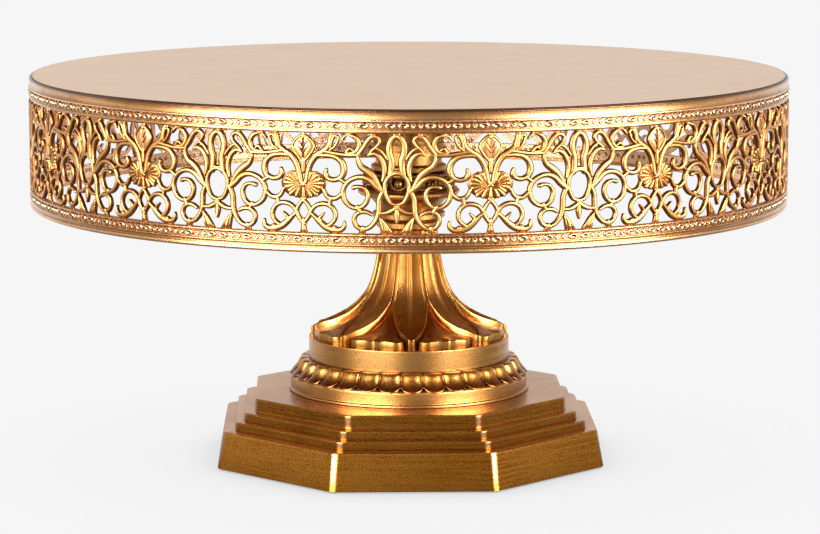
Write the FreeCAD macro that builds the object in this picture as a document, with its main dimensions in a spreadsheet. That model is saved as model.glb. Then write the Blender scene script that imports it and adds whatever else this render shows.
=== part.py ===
import FreeCAD, Part
import math
import os

import Sketcher

# Pedestal cake stand.  Millimetres, +Z up, origin on the floor under the centre.
# The octagonal plinth has a flat side towards -Y.

DIMENSIONS = [
    # plinth and its underside
    ("axis", 0.0, "the stand's own axis"),
    ("floor", 0.0, "the surface that the stand rests on"),
    ("rim_low", 0.5, "lowest edge of the plinth wall above the floor"),
    ("felt_top", 1.2, "top of the felt pad"),
    ("cover_top", 2.7, "top of the base cover, under the ledge of the plinth"),
    ("felt_radius", 64.8, "felt pad, across the corners / 2"),
    ("cover_radius", 65.8, "base cover, across the corners / 2"),
    ("rebate_radius", 66.0, "rebate that takes the base cover"),
    ("ledge_radius", 62.5, "lower hollow of the plinth"),
    ("hollow_radius", 52.0, "upper hollow of the plinth"),
    ("hollow_step", 10.4, "top of the lower hollow"),
    ("deck_under", 20.2, "underside of the plinth's deck"),
    ("tier_one_radius", 69.8, "octagon at the floor"),
    ("tier_two_radius", 63.3, "second octagon"),
    ("tier_three_radius", 60.1, "third octagon"),
    ("tier_four_radius", 56.1, "top octagon"),
    ("tier_one_top", 12.9, "top of the lowest tier"),
    ("tier_two_top", 15.8, "top of the second tier"),
    ("tier_three_top", 18.7, "top of the third tier"),
    ("deck_top", 23.2, "top of the plinth"),
    ("tier_draft", 9.7, "draft of the lowest tier's sides, degrees"),
    ("corner_round", 2.4, "rounding of the plinth's upright corners"),
    # tie rod and what it clamps
    ("rod_radius", 4.0, "tie rod, M8"),
    ("rod_low", 9.0, "lower end of the tie rod"),
    ("rod_top", 116.4, "upper end of the tie rod"),
    ("rod_chamfer", 0.8, "chamfer on the rod's ends"),
    ("rod_gap", 0.2, "clearance round the rod in plain bores"),
    ("thread_gap", 0.05, "running clearance of the tray's thread"),
    ("nut_corner", 7.5, "lower nut, across the corners / 2"),
    ("nut_low", 12.1, "underside of the lower nut"),
    ("nut_top", 18.6, "top of the lower nut"),
    ("washer_radius", 12.0, "lower washer"),
    # foot collar, gadroon ring and drum
    ("spigot_radius", 31.0, "spigot of the drum"),
    ("spigot_gap", 0.1, "clearance round the spigot"),
    ("collar_radius", 40.7, "foot collar"),
    ("collar_top", 28.9, "top of the foot collar"),
    ("collar_step", 27.9, "ledge of the foot collar that the lobes hang over"),
    ("step_radius", 38.4, "foot collar above that ledge"),
    ("gadroon_radius", 40.5, "outside of the gadroon lobes"),
    ("gadroon_low", 28.0, "lowest edge of the lobes"),
    ("gadroon_nose", 29.3, "top of the lobes' upright front"),
    ("gadroon_crown", 34.6, "radius of the gadroon ring at its top"),
    ("gadroon_top", 34.0, "top of the gadroon ring"),
    ("gadroon_hollow", 8.5, "radius of the lobes' hollow back"),
    ("gadroon_count", 36, "number of lobes"),
    ("gadroon_notch", 3.2, "depth of the notch between two lobes"),
    ("drum_radius", 33.9, "plain drum"),
    ("drum_top", 41.2, "top of the drum"),
    ("drum_bore", 28.0, "inside of the drum"),
    ("drum_under", 38.2, "underside of the drum's deck"),
    # stem
    ("petal_radius", 33.2, "tips of the petals"),
    ("petal_top", 44.3, "top of the petals' upright edge"),
    ("flare_radius", 21.4, "stem where the flare turns upward"),
    ("flare_level", 49.7, "level of that point"),
    ("shaft_radius", 13.7, "stem where the shaft begins"),
    ("shaft_level", 59.3, "level of that point"),
    ("stem_radius", 10.1, "stem at its top"),
    ("stem_top", 78.0, "top of the stem"),
    ("flare_curve", 30.0, "radius of the lower flare"),
    ("turn_curve", 18.5, "radius of the middle flare"),
    ("shaft_curve", 52.0, "radius of the shaft's long curve"),
    ("petal_count", 8, "number of tongue petals"),
    ("tongue_angle", 6.5, "half width of a tongue petal at its tip, degrees"),
    ("petal_gap", 0.9, "half width of the gap between petals"),
    ("petal_gap_depth", 3.2, "depth of that gap"),
    # capital
    ("ring_bevel", 0.8, "bevel on the edges of the turned rings"),
    ("bead_radius", 11.0, "neck bead"),
    ("bead_top", 81.2, "top of the neck bead"),
    ("astragal_radius", 12.2, "astragal"),
    ("astragal_top", 84.2, "top of the astragal"),
    ("bell_low_radius", 10.4, "bottom of the capital's bell"),
    ("bell_top_radius", 15.6, "top of the capital's bell"),
    ("bell_curve", 7.0, "radius of the bell's hollow side"),
    ("bell_top", 89.4, "top of the bell"),
    ("disc_radius", 17.2, "capital disc"),
    ("disc_top", 91.7, "top of the capital disc"),
    ("egg_core_radius", 14.6, "body of the egg ring"),
    ("egg_circle", 14.7, "circle of the egg centres"),
    ("egg_radius", 2.3, "one egg"),
    ("egg_level", 94.5, "level of the egg centres"),
    ("egg_count", 12, "number of eggs"),
    ("egg_top", 97.2, "top of the egg ring"),
    ("torus_radius", 12.7, "capital torus"),
    ("torus_top", 100.2, "top of the capital torus"),
    ("neck_radius", 11.2, "threaded neck collar"),
    ("neck_top", 103.4, "top of the neck collar"),
    # joint washer and boss of the tray
    ("joint_radius", 12.4, "washer between neck collar and boss"),
    ("joint_gap", 0.35, "clearance round the rod in that washer"),
    ("joint_top", 104.4, "top of that washer"),
    ("boss_radius", 12.0, "boss of the tray"),
    ("boss_groove", 11.3, "radius in the boss's turned grooves"),
    ("groove_low", 107.2, "lower turned groove, underside"),
    ("groove_high", 108.0, "lower turned groove, top"),
    ("flange_radius", 34.0, "flange brazed under the tray"),
    ("flange_under", 125.7, "underside of the flange"),
    ("bore_end", 117.6, "blind end of the boss's thread"),
    # tray and pierced band
    ("tray_radius", 126.0, "tray plate"),
    ("tray_under", 128.7, "underside of the tray plate"),
    ("tray_top", 130.7, "top of the tray plate"),
    ("tray_round", 0.5, "rounding of the tray's upper edge"),
    ("seat_gap", 0.05, "clearance round the tray in its rim"),
    ("rail_inner", 124.6, "inside of both rails"),
    ("rail_outer", 126.7, "ground of both rails"),
    ("line_radius", 127.2, "raised line on both rails"),
    ("lip_radius", 126.9, "outside of the rim's lip"),
    ("lip_top", 130.3, "top of the rim's lip"),
    ("cove_low", 127.8, "lower edge of the rim's cove"),
    ("cove_curve", 3.2, "radius of the cove"),
    ("line_low", 127.0, "underside of the upper raised line"),
    ("upper_low", 123.4, "underside of the upper rail"),
    ("lower_low", 88.6, "underside of the lower rail"),
    ("lower_line", 92.4, "underside of the lower raised line"),
    ("lower_top", 93.1, "top of the lower rail"),
    ("hem_low", 87.2, "lowest edge of the band"),
    ("hem_ground", 126.6, "where the hem's round face begins"),
    ("hem_inner", 125.2, "inside of the hem ring"),
    ("hem_curve", 0.75, "radius of the hem's round face"),
    ("band_radius", 127.0, "outer face of the pierced panels"),
    ("band_inner", 125.2, "inner face of the pierced panels"),
    ("panel_count", 14, "number of pierced panels"),
    ("band_turn", -3.2, "turn of the band against the plinth, degrees"),
]

# One half of a pierced panel, drawn flat: distance from the panel's middle line, height above
# the band's lowest edge, and the stroke's width there.  The other half is its mirror image.
STROKES = {
    "arm": [(-0.3, 20.5, 1.3), (0.8, 21.4, 1.5), (1.35, 24.0, 1.6), (2.2, 26.8, 1.7), (3.9, 29.2, 1.8),
            (6.2, 30.7, 1.8), (7.8, 32.2, 1.6), (8.4, 34.2, 1.5), (8.9, 36.6, 1.5)],
    "upper_scroll": [(4.2, 29.4, 1.2), (7.2, 29.5, 1.3), (10.0, 29.0, 1.5), (11.9, 27.4, 1.7), (12.5, 25.2, 1.8),
                     (11.9, 23.2, 1.6), (10.0, 22.2, 1.4), (8.0, 22.4, 1.3), (6.9, 23.6, 1.2), (7.1, 25.3, 0.7)],
    "hook": [(6.2, 19.2, 1.0), (7.1, 17.4, 1.2), (8.6, 16.5, 1.4), (10.3, 16.7, 1.3), (11.9, 18.0, 1.2)],
    "middle_scroll": [(24.4, 18.7, 1.8), (22.2, 20.4, 1.7), (20.5, 22.1, 1.6), (18.5, 23.0, 1.5),
                      (16.2, 22.9, 1.4), (14.0, 21.8, 1.4), (12.6, 20.0, 1.4), (12.2, 18.0, 1.4),
                      (12.8, 15.9, 1.4), (14.4, 14.3, 1.3), (16.5, 13.7, 1.3), (18.5, 14.5, 1.4),
                      (19.6, 16.2, 1.4), (19.7, 18.2, 1.3), (18.6, 19.8, 1.1), (16.9, 20.2, 1.0),
                      (15.6, 19.8, 0.7)],
    "lower_scroll": [(24.4, 18.9, 1.6), (23.3, 16.5, 1.5), (23.1, 14.0, 1.5), (22.9, 11.8, 1.5), (21.9, 9.6, 1.4),
                     (20.2, 7.9, 1.3), (18.2, 7.4, 1.3), (16.4, 8.2, 1.3), (15.6, 10.0, 1.3), (16.2, 11.7, 1.3),
                     (17.8, 12.6, 1.3), (19.6, 12.5, 1.1), (21.0, 11.8, 0.7)],
    "scroll_link": [(16.7, 14.0, 1.3), (17.4, 12.5, 1.3)],
    "scroll_foot": [(18.2, 7.6, 1.4), (18.0, 5.6, 2.2)],
    "side_link": [(11.0, 22.6, 1.2), (13.3, 21.1, 1.2)],
    "flame": [(16.9, 29.9, 0.9), (16.8, 28.2, 1.2), (17.7, 26.3, 1.7), (19.6, 24.9, 2.0), (21.4, 23.3, 1.8),
              (22.9, 21.0, 1.3), (24.0, 19.0, 1.1)],
    "horn": [(20.0, 29.7, 0.8), (21.7, 30.2, 1.3), (23.5, 29.0, 1.6), (24.6, 26.7, 1.6), (24.8, 24.4, 1.4),
             (24.2, 22.0, 0.9)],
    "top_loop": [(16.8, 29.8, 1.3), (18.4, 31.9, 1.4), (19.7, 34.0, 1.4), (21.3, 35.4, 1.4), (22.9, 34.9, 1.2),
                 (23.3, 33.5, 1.1), (22.3, 32.2, 1.1), (21.0, 31.1, 1.0), (20.1, 29.8, 0.8)],
    "loop_tie": [(21.3, 35.2, 1.4), (21.3, 36.6, 1.8)],
    "horn_edge": [(22.2, 32.0, 0.9), (23.9, 30.9, 1.0), (25.6, 28.6, 0.8)],
    "ledge": [(6.6, 30.7, 1.2), (10.0, 30.1, 1.2), (13.4, 29.7, 1.2), (16.9, 29.8, 1.4)],
    "top_hook": [(13.6, 30.1, 1.2), (15.2, 30.3, 1.3), (16.6, 31.2, 1.4), (17.2, 33.0, 1.5), (16.4, 34.7, 1.4),
                 (15.0, 35.7, 1.3), (13.4, 36.6, 1.3)],
    "top_curl": [(13.2, 30.4, 1.0), (14.2, 31.7, 1.0), (15.2, 31.2, 0.8)],
    "top_spur": [(13.5, 36.6, 1.0), (12.7, 35.3, 1.0), (11.9, 34.3, 0.7)],
    "drop_left": [(8.4, 31.8, 0.9), (8.8, 33.8, 0.9), (9.5, 35.2, 1.0), (9.9, 36.6, 1.4)],
    "drop_right": [(9.7, 35.6, 1.0), (10.7, 35.0, 0.9), (10.5, 33.5, 0.9), (9.6, 32.1, 0.9), (8.3, 31.1, 0.9)],
    "lancet": [(26.6, 23.7, 1.9), (26.9, 26.0, 1.9), (26.9, 28.0, 2.0), (26.3, 30.0, 1.9), (26.2, 32.3, 1.8),
               (27.0, 34.4, 1.8), (28.8, 36.2, 1.9)],
    "oval": [(28.5, 24.35, 1.0), (26.6, 23.7, 1.0), (25.2, 21.9, 1.0), (24.85, 19.85, 1.0), (25.2, 17.8, 1.0),
             (26.6, 16.0, 1.0), (28.5, 15.35, 1.0)],
    "oval_cap": [(28.2, 24.7, 1.0), (30.0, 24.7, 1.0)],
    "star": [(29.0, 15.1, 1.2), (27.3, 13.4, 1.6), (25.4, 12.4, 1.3), (23.0, 12.3, 0.9)],
    "drop": [(28.5, 15.2, 1.8), (28.5, 12.0, 1.7), (28.5, 9.6, 0.9)],
    "fern": [(23.5, 10.6, 0.9), (24.7, 8.7, 2.0), (25.8, 5.6, 2.8)],
    "base_scroll": [(2.2, 12.2, 1.2), (3.3, 13.8, 1.2), (5.0, 14.7, 1.3), (7.0, 14.8, 1.3), (8.8, 13.9, 1.3),
                    (9.8, 12.2, 1.3), (9.8, 10.4, 1.2), (8.8, 9.0, 1.2), (7.6, 8.2, 1.2)],
    "base_link": [(8.1, 14.4, 1.2), (8.4, 16.6, 1.2)],
    "base_leaf": [(2.0, 12.2, 1.0), (3.6, 10.8, 1.3), (5.2, 9.2, 1.7), (7.0, 7.8, 1.9), (9.2, 7.0, 1.9),
                  (11.2, 7.0, 1.6), (12.5, 7.9, 1.3), (12.6, 9.4, 0.8)],
    "leaf_foot": [(9.6, 7.2, 2.0), (10.0, 5.6, 2.8)],
    "leaf_curl": [(5.7, 8.7, 1.2), (5.0, 10.2, 1.1), (5.6, 11.2, 0.9), (6.3, 11.9, 0.6)],
    "lozenge": [(-0.4, 16.3, 1.1), (1.2, 14.6, 1.1), (2.2, 12.4, 1.3), (1.2, 10.3, 1.2), (-0.2, 8.7, 1.2)],
    "lozenge_foot": [(0.0, 9.8, 1.2), (0.0, 7.6, 1.4), (0.0, 5.6, 2.4)],
    "bud_neck": [(0.0, 28.2, 1.4), (0.0, 24.6, 1.4)],
    "bud_tie": [(0.0, 34.8, 1.2), (0.0, 36.6, 1.6)],
}
LEAVES = {
    "shell": [(0.0, 20.6), (1.6, 23.0), (2.4, 24.3), (4.0, 24.3), (5.5, 23.5), (6.5, 22.3), (6.9, 20.9),
              (6.5, 19.4), (5.6, 18.2), (4.4, 17.4), (2.6, 17.0), (1.2, 16.6), (0.0, 16.2)],
    "bud": [(0.0, 27.2), (1.5, 28.9), (2.9, 30.8), (3.3, 32.1), (2.6, 33.7), (1.3, 34.9), (0.0, 35.6)],
}

doc = FreeCAD.newDocument("cake_stand")
dims = doc.addObject("Spreadsheet::Sheet", "dims")
pieces = []


def fill_sheet():
    for row, (name, size, note) in enumerate(DIMENSIONS, start=1):
        dims.set("A%d" % row, name)
        dims.set("B%d" % row, str(size))
        dims.set("C%d" % row, note)
        dims.setAlias("B%d" % row, name)
    doc.recompute()


def value(words):
    """A sum such as 'rod_radius + rod_gap', worked out from the sheet."""
    total = 0.0
    sign = 1.0
    for word in words.split():
        if word in ("+", "-"):
            sign = 1.0 if word == "+" else -1.0
        else:
            total += sign * float(dims.get(word))
    return total


def formula(words):
    """The same sum as an expression that follows the sheet."""
    return " ".join(word if word in ("+", "-") else "dims." + word for word in words.split())


def bind(thing, path, words):
    thing.setExpression(path, formula(words))


def new_body(label):
    body = doc.addObject("PartDesign::Body", label)
    body.Label = label
    pieces.append(body)
    return body


def origin_feature(body, role):
    for feature in body.Origin.OriginFeatures:
        if feature.Role == role:
            return feature
    raise ValueError("no origin feature " + role)


def new_sketch(body, name, plane, level=None):
    sketch = body.newObject("Sketcher::SketchObject", name)
    sketch.AttachmentSupport = (origin_feature(body, plane), [""])
    sketch.MapMode = "FlatFace"
    if level:
        bind(sketch, "AttachmentOffset.Base.z", level)
    return sketch


def arc_between(start, end, radius, bulge):
    """The short arc from start to end; bulge is 1 where it runs counter-clockwise, else -1."""
    middle = (start + end) * 0.5
    chord = end - start
    normal = FreeCAD.Vector(-chord.y, chord.x, 0)
    normal.normalize()
    rise = math.sqrt(max(radius ** 2 - (chord.Length / 2) ** 2, 0.0))
    centre = middle + normal * rise * bulge
    first, last = (start, end) if bulge > 0 else (end, start)
    begin = math.atan2(first.y - centre.y, first.x - centre.x)
    finish = math.atan2(last.y - centre.y, last.x - centre.x)
    circle = Part.Circle(centre, FreeCAD.Vector(0, 0, 1), radius)
    return Part.ArcOfCircle(circle, begin, finish)


def draw_outline(sketch, corners):
    """A closed outline.  Each corner is (radius words, level words) and, where an arc follows it,
    (arc radius words, direction).  Every corner is tied to the sheet."""
    places = [FreeCAD.Vector(value(corner[0]), value(corner[1]), 0) for corner in corners]
    starts = []
    ends = []
    for index, corner in enumerate(corners):
        start = places[index]
        end = places[(index + 1) % len(corners)]
        if len(corner) == 2:
            sketch.addGeometry(Part.LineSegment(start, end))
            direction = 1
        else:
            direction = corner[3]
            sketch.addGeometry(arc_between(start, end, value(corner[2]), direction))
        starts.append(1 if direction > 0 else 2)
        ends.append(2 if direction > 0 else 1)
    for index in range(len(corners)):
        after = (index + 1) % len(corners)
        sketch.addConstraint(Sketcher.Constraint("Coincident", index, ends[index], after, starts[after]))
    for index, corner in enumerate(corners):
        for kind, words in (("DistanceX", corner[0]), ("DistanceY", corner[1])):
            constraint = Sketcher.Constraint(kind, -1, 1, index, starts[index], value(words))
            number = sketch.addConstraint(constraint)
            name = "%s_%d" % (kind, index)
            sketch.renameConstraint(number, name)
            bind(sketch, "Constraints." + name, words)
        if len(corner) > 2:
            number = sketch.addConstraint(Sketcher.Constraint("Radius", index, value(corner[2])))
            name = "Arc_%d" % index
            sketch.renameConstraint(number, name)
            bind(sketch, "Constraints." + name, corner[2])


def draw_polygon(sketch, sides, radius, turn):
    """A regular polygon about the origin, held by its corner circle and one corner's angle."""
    corners = []
    for index in range(sides):
        angle = turn + 2 * math.pi * index / sides
        reach = value(radius)
        corners.append(FreeCAD.Vector(reach * math.cos(angle), reach * math.sin(angle), 0))
    for index in range(sides):
        sketch.addGeometry(Part.LineSegment(corners[index], corners[(index + 1) % sides]))
    circle = Part.Circle(FreeCAD.Vector(0, 0, 0), FreeCAD.Vector(0, 0, 1), value(radius))
    rim = sketch.addGeometry(circle, True)
    sketch.addConstraint(Sketcher.Constraint("Coincident", rim, 3, -1, 1))
    for index in range(sides):
        sketch.addConstraint(Sketcher.Constraint("Coincident", index, 2, (index + 1) % sides, 1))
        sketch.addConstraint(Sketcher.Constraint("PointOnObject", index, 1, rim))
        if index:
            sketch.addConstraint(Sketcher.Constraint("Equal", 0, index))
    number = sketch.addConstraint(Sketcher.Constraint("Radius", rim, value(radius)))
    sketch.renameConstraint(number, "corner_circle")
    bind(sketch, "Constraints.corner_circle", radius)
    slope = math.atan2(corners[1].y - corners[0].y, corners[1].x - corners[0].x)
    sketch.addConstraint(Sketcher.Constraint("Angle", 0, slope))


def draw_circle(sketch, radius):
    circle = Part.Circle(FreeCAD.Vector(0, 0, 0), FreeCAD.Vector(0, 0, 1), value(radius))
    rim = sketch.addGeometry(circle)
    sketch.addConstraint(Sketcher.Constraint("Coincident", rim, 3, -1, 1))
    number = sketch.addConstraint(Sketcher.Constraint("Radius", rim, value(radius)))
    sketch.renameConstraint(number, "circle")
    bind(sketch, "Constraints.circle", radius)


def turned(label, corners):
    """A piece turned about Z from its half section."""
    body = new_body(label)
    sketch = new_sketch(body, label + "_section", "XZ_Plane")
    draw_outline(sketch, corners)
    revolution = body.newObject("PartDesign::Revolution", label + "_turning")
    revolution.Profile = sketch
    revolution.ReferenceAxis = (sketch, ["V_Axis"])
    revolution.Angle = 360.0
    body.Tip = revolution
    return body


def pad(body, sketch, length, draft=None):
    feature = body.newObject("PartDesign::Pad", sketch.Name + "_pad")
    feature.Profile = sketch
    feature.Type = 0
    bind(feature, "Length", length)
    if draft:
        feature.setExpression("TaperAngle", "-dims." + draft)
    body.Tip = feature
    return feature


def pocket_up(body, sketch, length):
    """Cuts upward from the sketch's level; the volume has to fall."""
    doc.recompute()
    before = body.Shape.Volume
    feature = body.newObject("PartDesign::Pocket", sketch.Name + "_pocket")
    feature.Profile = sketch
    feature.Type = 0
    feature.Reversed = True
    bind(feature, "Length", length)
    body.Tip = feature
    doc.recompute()
    if body.Shape.Volume >= before:
        raise ValueError(sketch.Name + " cuts nothing")
    return feature


def around(body, feature, count):
    """Repeats a feature evenly about Z."""
    pattern = body.newObject("PartDesign::PolarPattern", feature.Name + "_ring")
    pattern.Originals = [feature]
    pattern.Axis = (origin_feature(body, "Z_Axis"), [""])
    pattern.Angle = 360.0
    pattern.setExpression("Occurrences", "dims." + count)
    body.Tip = pattern
    return pattern


def octagon_turn():
    return math.radians(22.5)


def octagon_slab(label, radius, low, top):
    body = new_body(label)
    sketch = new_sketch(body, label + "_octagon", "XY_Plane", low)
    draw_polygon(sketch, 8, radius, octagon_turn())
    pad(body, sketch, top + " - " + low)
    return body


def round_uprights(body, name, low):
    """Rounds the upright corners that start at the given level."""
    doc.recompute()
    uprights = []
    for number, edge in enumerate(body.Shape.Edges, start=1):
        levels = [vertex.Point.z for vertex in edge.Vertexes]
        if max(levels) - min(levels) > 1.0 and abs(min(levels) - value(low)) < 0.01:
            uprights.append("Edge%d" % number)
    tier = body.Tip
    rounds = body.newObject("PartDesign::Fillet", name)
    rounds.Base = (tier, uprights)
    bind(rounds, "Radius", "corner_round")
    body.Tip = rounds


def make_plinth():
    body = new_body("plinth")
    tiers = [
        ("tier_one", "rim_low", "tier_one_top", "tier_draft"),
        ("tier_two", "tier_one_top", "tier_two_top", None),
        ("tier_three", "tier_two_top", "tier_three_top", None),
        ("tier_four", "tier_three_top", "deck_top", None),
    ]
    for name, low, top, draft in tiers:
        sketch = new_sketch(body, name, "XY_Plane", low)
        draw_polygon(sketch, 8, name + "_radius", octagon_turn())
        pad(body, sketch, top + " - " + low, draft)
        round_uprights(body, name + "_rounds", low)
    hollows = [
        ("cover_rebate", "rebate_radius", "rim_low", "cover_top"),
        ("lower_hollow", "ledge_radius", "cover_top", "hollow_step"),
        ("upper_hollow", "hollow_radius", "hollow_step", "deck_under"),
    ]
    for name, radius, low, top in hollows:
        sketch = new_sketch(body, name, "XY_Plane", low)
        draw_polygon(sketch, 8, radius, octagon_turn())
        pocket_up(body, sketch, top + " - " + low)
    bore = new_sketch(body, "rod_bore", "XY_Plane", "deck_under")
    draw_circle(bore, "rod_radius + rod_gap")
    pocket_up(body, bore, "deck_top - deck_under")


def make_underside():
    octagon_slab("felt_pad", "felt_radius", "floor", "felt_top")
    octagon_slab("base_cover", "cover_radius", "felt_top", "cover_top")


def ring_section(inner, outer, low, top):
    return [(inner, low), (outer, low), (outer, top), (inner, top)]


def make_tie_rod():
    rod = doc.addObject("Part::Cylinder", "tie_rod_blank")
    bind(rod, "Radius", "rod_radius")
    bind(rod, "Height", "rod_top - rod_low")
    rod.setExpression("Placement.Base.z", "dims.rod_low")
    doc.recompute()
    ends = []
    for number, edge in enumerate(rod.Shape.Edges, start=1):
        if len(edge.Vertexes) == 1:
            ends.append((number, value("rod_chamfer"), value("rod_chamfer")))
    chamfer = doc.addObject("Part::Chamfer", "tie_rod")
    chamfer.Base = rod
    chamfer.Edges = ends
    chamfer.Label = "tie_rod"
    pieces.append(chamfer)
    nut = new_body("lower_nut")
    hexagon = new_sketch(nut, "nut_hexagon", "XY_Plane", "nut_low")
    draw_polygon(hexagon, 6, "nut_corner", 0.0)
    pad(nut, hexagon, "nut_top - nut_low")
    bore = new_sketch(nut, "nut_bore", "XY_Plane", "nut_low")
    draw_circle(bore, "rod_radius")
    pocket_up(nut, bore, "nut_top - nut_low")
    turned("lower_washer", ring_section("rod_radius + rod_gap", "washer_radius", "nut_top", "deck_under"))


def notch_ring(body, name, low, height, points, count):
    """Cuts a small upright notch, given by its corners in plan, evenly round the piece."""
    sketch = new_sketch(body, name, "XY_Plane", low)
    for index, point in enumerate(points):
        sketch.addGeometry(Part.LineSegment(point, points[(index + 1) % len(points)]))
    for index in range(len(points)):
        sketch.addConstraint(Sketcher.Constraint("Coincident", index, 2, (index + 1) % len(points), 1))
        sketch.addConstraint(Sketcher.Constraint("Block", index))
    cut = pocket_up(body, sketch, height)
    around(body, cut, count)


def plan_point(radius, degrees):
    angle = math.radians(degrees)
    return FreeCAD.Vector(radius * math.cos(angle), radius * math.sin(angle), 0)


def make_foot():
    inner = "spigot_radius + spigot_gap"
    turned("foot_collar", [
        (inner, "deck_top"),
        ("collar_radius", "deck_top"),
        ("collar_radius", "collar_step"),
        ("step_radius", "collar_step"),
        ("step_radius", "collar_top"),
        (inner, "collar_top"),
    ])
    gadroon = turned("gadroon_ring", [
        (inner, "collar_top"),
        ("step_radius + spigot_gap", "collar_top"),
        ("step_radius + spigot_gap", "gadroon_low"),
        ("gadroon_radius", "gadroon_low"),
        ("gadroon_radius", "gadroon_nose", "gadroon_hollow", -1),
        ("gadroon_crown", "gadroon_top"),
        (inner, "gadroon_top"),
    ])
    outside = value("gadroon_radius") + 1.0
    root = value("gadroon_radius - gadroon_notch")
    half = 180.0 / value("gadroon_count")
    notch = [plan_point(root, half), plan_point(outside, half - 1.6), plan_point(outside, half + 1.6)]
    notch_ring(gadroon, "lobe_notch", "gadroon_low", "gadroon_top - gadroon_low", notch, "gadroon_count")
    turned("drum", [
        ("drum_bore", "deck_top"),
        ("spigot_radius", "deck_top"),
        ("spigot_radius", "gadroon_top"),
        ("drum_radius", "gadroon_top"),
        ("drum_radius", "drum_top"),
        ("rod_radius + rod_gap", "drum_top"),
        ("rod_radius + rod_gap", "drum_under"),
        ("drum_bore", "drum_under"),
    ])


def make_stem():
    stem = turned("petal_stem", [
        ("rod_radius + rod_gap", "drum_top"),
        ("petal_radius", "drum_top"),
        ("petal_radius", "petal_top", "flare_curve", -1),
        ("flare_radius", "flare_level", "turn_curve", -1),
        ("shaft_radius", "shaft_level", "shaft_curve", -1),
        ("stem_radius", "stem_top"),
        ("rod_radius + rod_gap", "stem_top"),
    ])
    outside = value("petal_radius") + 1.0
    root = value("petal_radius - petal_gap_depth")
    spread = math.degrees(value("petal_gap") / outside)
    for side in (-1, 1):
        middle = -90.0 + side * value("tongue_angle")
        notch = [
            plan_point(root, middle),
            plan_point(outside, middle - spread),
            plan_point(outside, middle + spread),
        ]
        name = "petal_gap_left" if side < 0 else "petal_gap_right"
        notch_ring(stem, name, "drum_top", "flare_level - drum_top", notch, "petal_count")


def make_capital():
    bore = "rod_radius + rod_gap"
    turned("neck_bead", [
        (bore, "stem_top"),
        ("stem_radius", "stem_top"),
        ("bead_radius", "stem_top + ring_bevel"),
        ("bead_radius", "bead_top - ring_bevel"),
        ("stem_radius", "bead_top"),
        (bore, "bead_top"),
    ])
    turned("astragal_ring", [
        (bore, "bead_top"),
        ("bell_low_radius", "bead_top"),
        ("astragal_radius", "bead_top + ring_bevel"),
        ("astragal_radius", "astragal_top - ring_bevel"),
        ("bell_low_radius", "astragal_top"),
        (bore, "astragal_top"),
    ])
    turned("capital_bell", [
        (bore, "astragal_top"),
        ("bell_low_radius", "astragal_top", "bell_curve", -1),
        ("bell_top_radius", "bell_top"),
        (bore, "bell_top"),
    ])
    turned("capital_disc", [
        (bore, "bell_top"),
        ("disc_radius - ring_bevel", "bell_top"),
        ("disc_radius", "bell_top + ring_bevel"),
        ("disc_radius", "disc_top - ring_bevel"),
        ("disc_radius - ring_bevel", "disc_top"),
        (bore, "disc_top"),
    ])
    eggs = turned("egg_ring", ring_section(bore, "egg_core_radius", "disc_top", "egg_top"))
    egg = eggs.newObject("PartDesign::AdditiveSphere", "egg")
    bind(egg, "Radius", "egg_radius")
    step = math.radians(180.0 / value("egg_count"))
    reach = value("egg_circle")
    middle = FreeCAD.Vector(reach * math.cos(step), reach * math.sin(step), value("egg_level"))
    egg.AttachmentOffset = FreeCAD.Placement(middle, FreeCAD.Rotation())
    egg.Placement = FreeCAD.Placement(middle, FreeCAD.Rotation())
    around(eggs, egg, "egg_count")
    turned("capital_torus", [
        (bore, "egg_top"),
        ("neck_radius", "egg_top"),
        ("torus_radius", "egg_top + ring_bevel"),
        ("torus_radius", "torus_top - ring_bevel"),
        ("neck_radius", "torus_top"),
        (bore, "torus_top"),
    ])
    turned("neck_collar", ring_section("rod_radius", "neck_radius", "torus_top", "neck_top"))


def make_tray():
    turned("joint_washer", ring_section("rod_radius + joint_gap", "joint_radius", "neck_top", "joint_top"))
    bore = "rod_radius + thread_gap"
    turned("tray_boss", [
        (bore, "joint_top"),
        ("boss_radius", "joint_top"),
        ("boss_radius", "groove_low"),
        ("boss_groove", "groove_low"),
        ("boss_groove", "groove_high"),
        ("boss_radius", "groove_high"),
        ("boss_radius", "flange_under"),
        ("flange_radius", "flange_under"),
        ("flange_radius", "tray_under"),
        ("axis", "tray_under"),
        ("axis", "bore_end"),
        (bore, "bore_end"),
    ])
    turned("tray_plate", [
        ("axis", "tray_under"),
        ("tray_radius", "tray_under"),
        ("tray_radius", "tray_top - tray_round", "tray_round", 1),
        ("tray_radius - tray_round", "tray_top"),
        ("axis", "tray_top"),
    ])


def make_rails():
    turned("upper_rail", [
        ("rail_inner", "upper_low"),
        ("rail_outer", "upper_low"),
        ("rail_outer", "line_low"),
        ("line_radius", "line_low"),
        ("line_radius", "cove_low", "cove_curve", -1),
        ("lip_radius", "lip_top"),
        ("tray_radius + seat_gap", "lip_top"),
        ("tray_radius + seat_gap", "tray_under"),
        ("rail_inner", "tray_under"),
    ])
    turned("lower_rail", [
        ("rail_inner", "lower_low"),
        ("rail_outer", "lower_low"),
        ("rail_outer", "lower_line"),
        ("line_radius", "lower_line"),
        ("line_radius", "lower_top"),
        ("rail_inner", "lower_top"),
    ])
    turned("hem_ring", [
        ("hem_inner", "hem_low"),
        ("hem_ground", "hem_low", "hem_curve", 1),
        ("hem_ground", "lower_low"),
        ("hem_inner", "lower_low"),
    ])


def bent(point, side):
    """A point of the flat drawing seen square on to the panel's middle, once the band is round."""
    radius = value("band_radius")
    return FreeCAD.Vector(side * radius * math.sin(point[0] / radius), 0, value("hem_low") + point[1])


def spline_through(points):
    curve = Part.BSplineCurve()
    curve.interpolate(points)
    return curve


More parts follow.
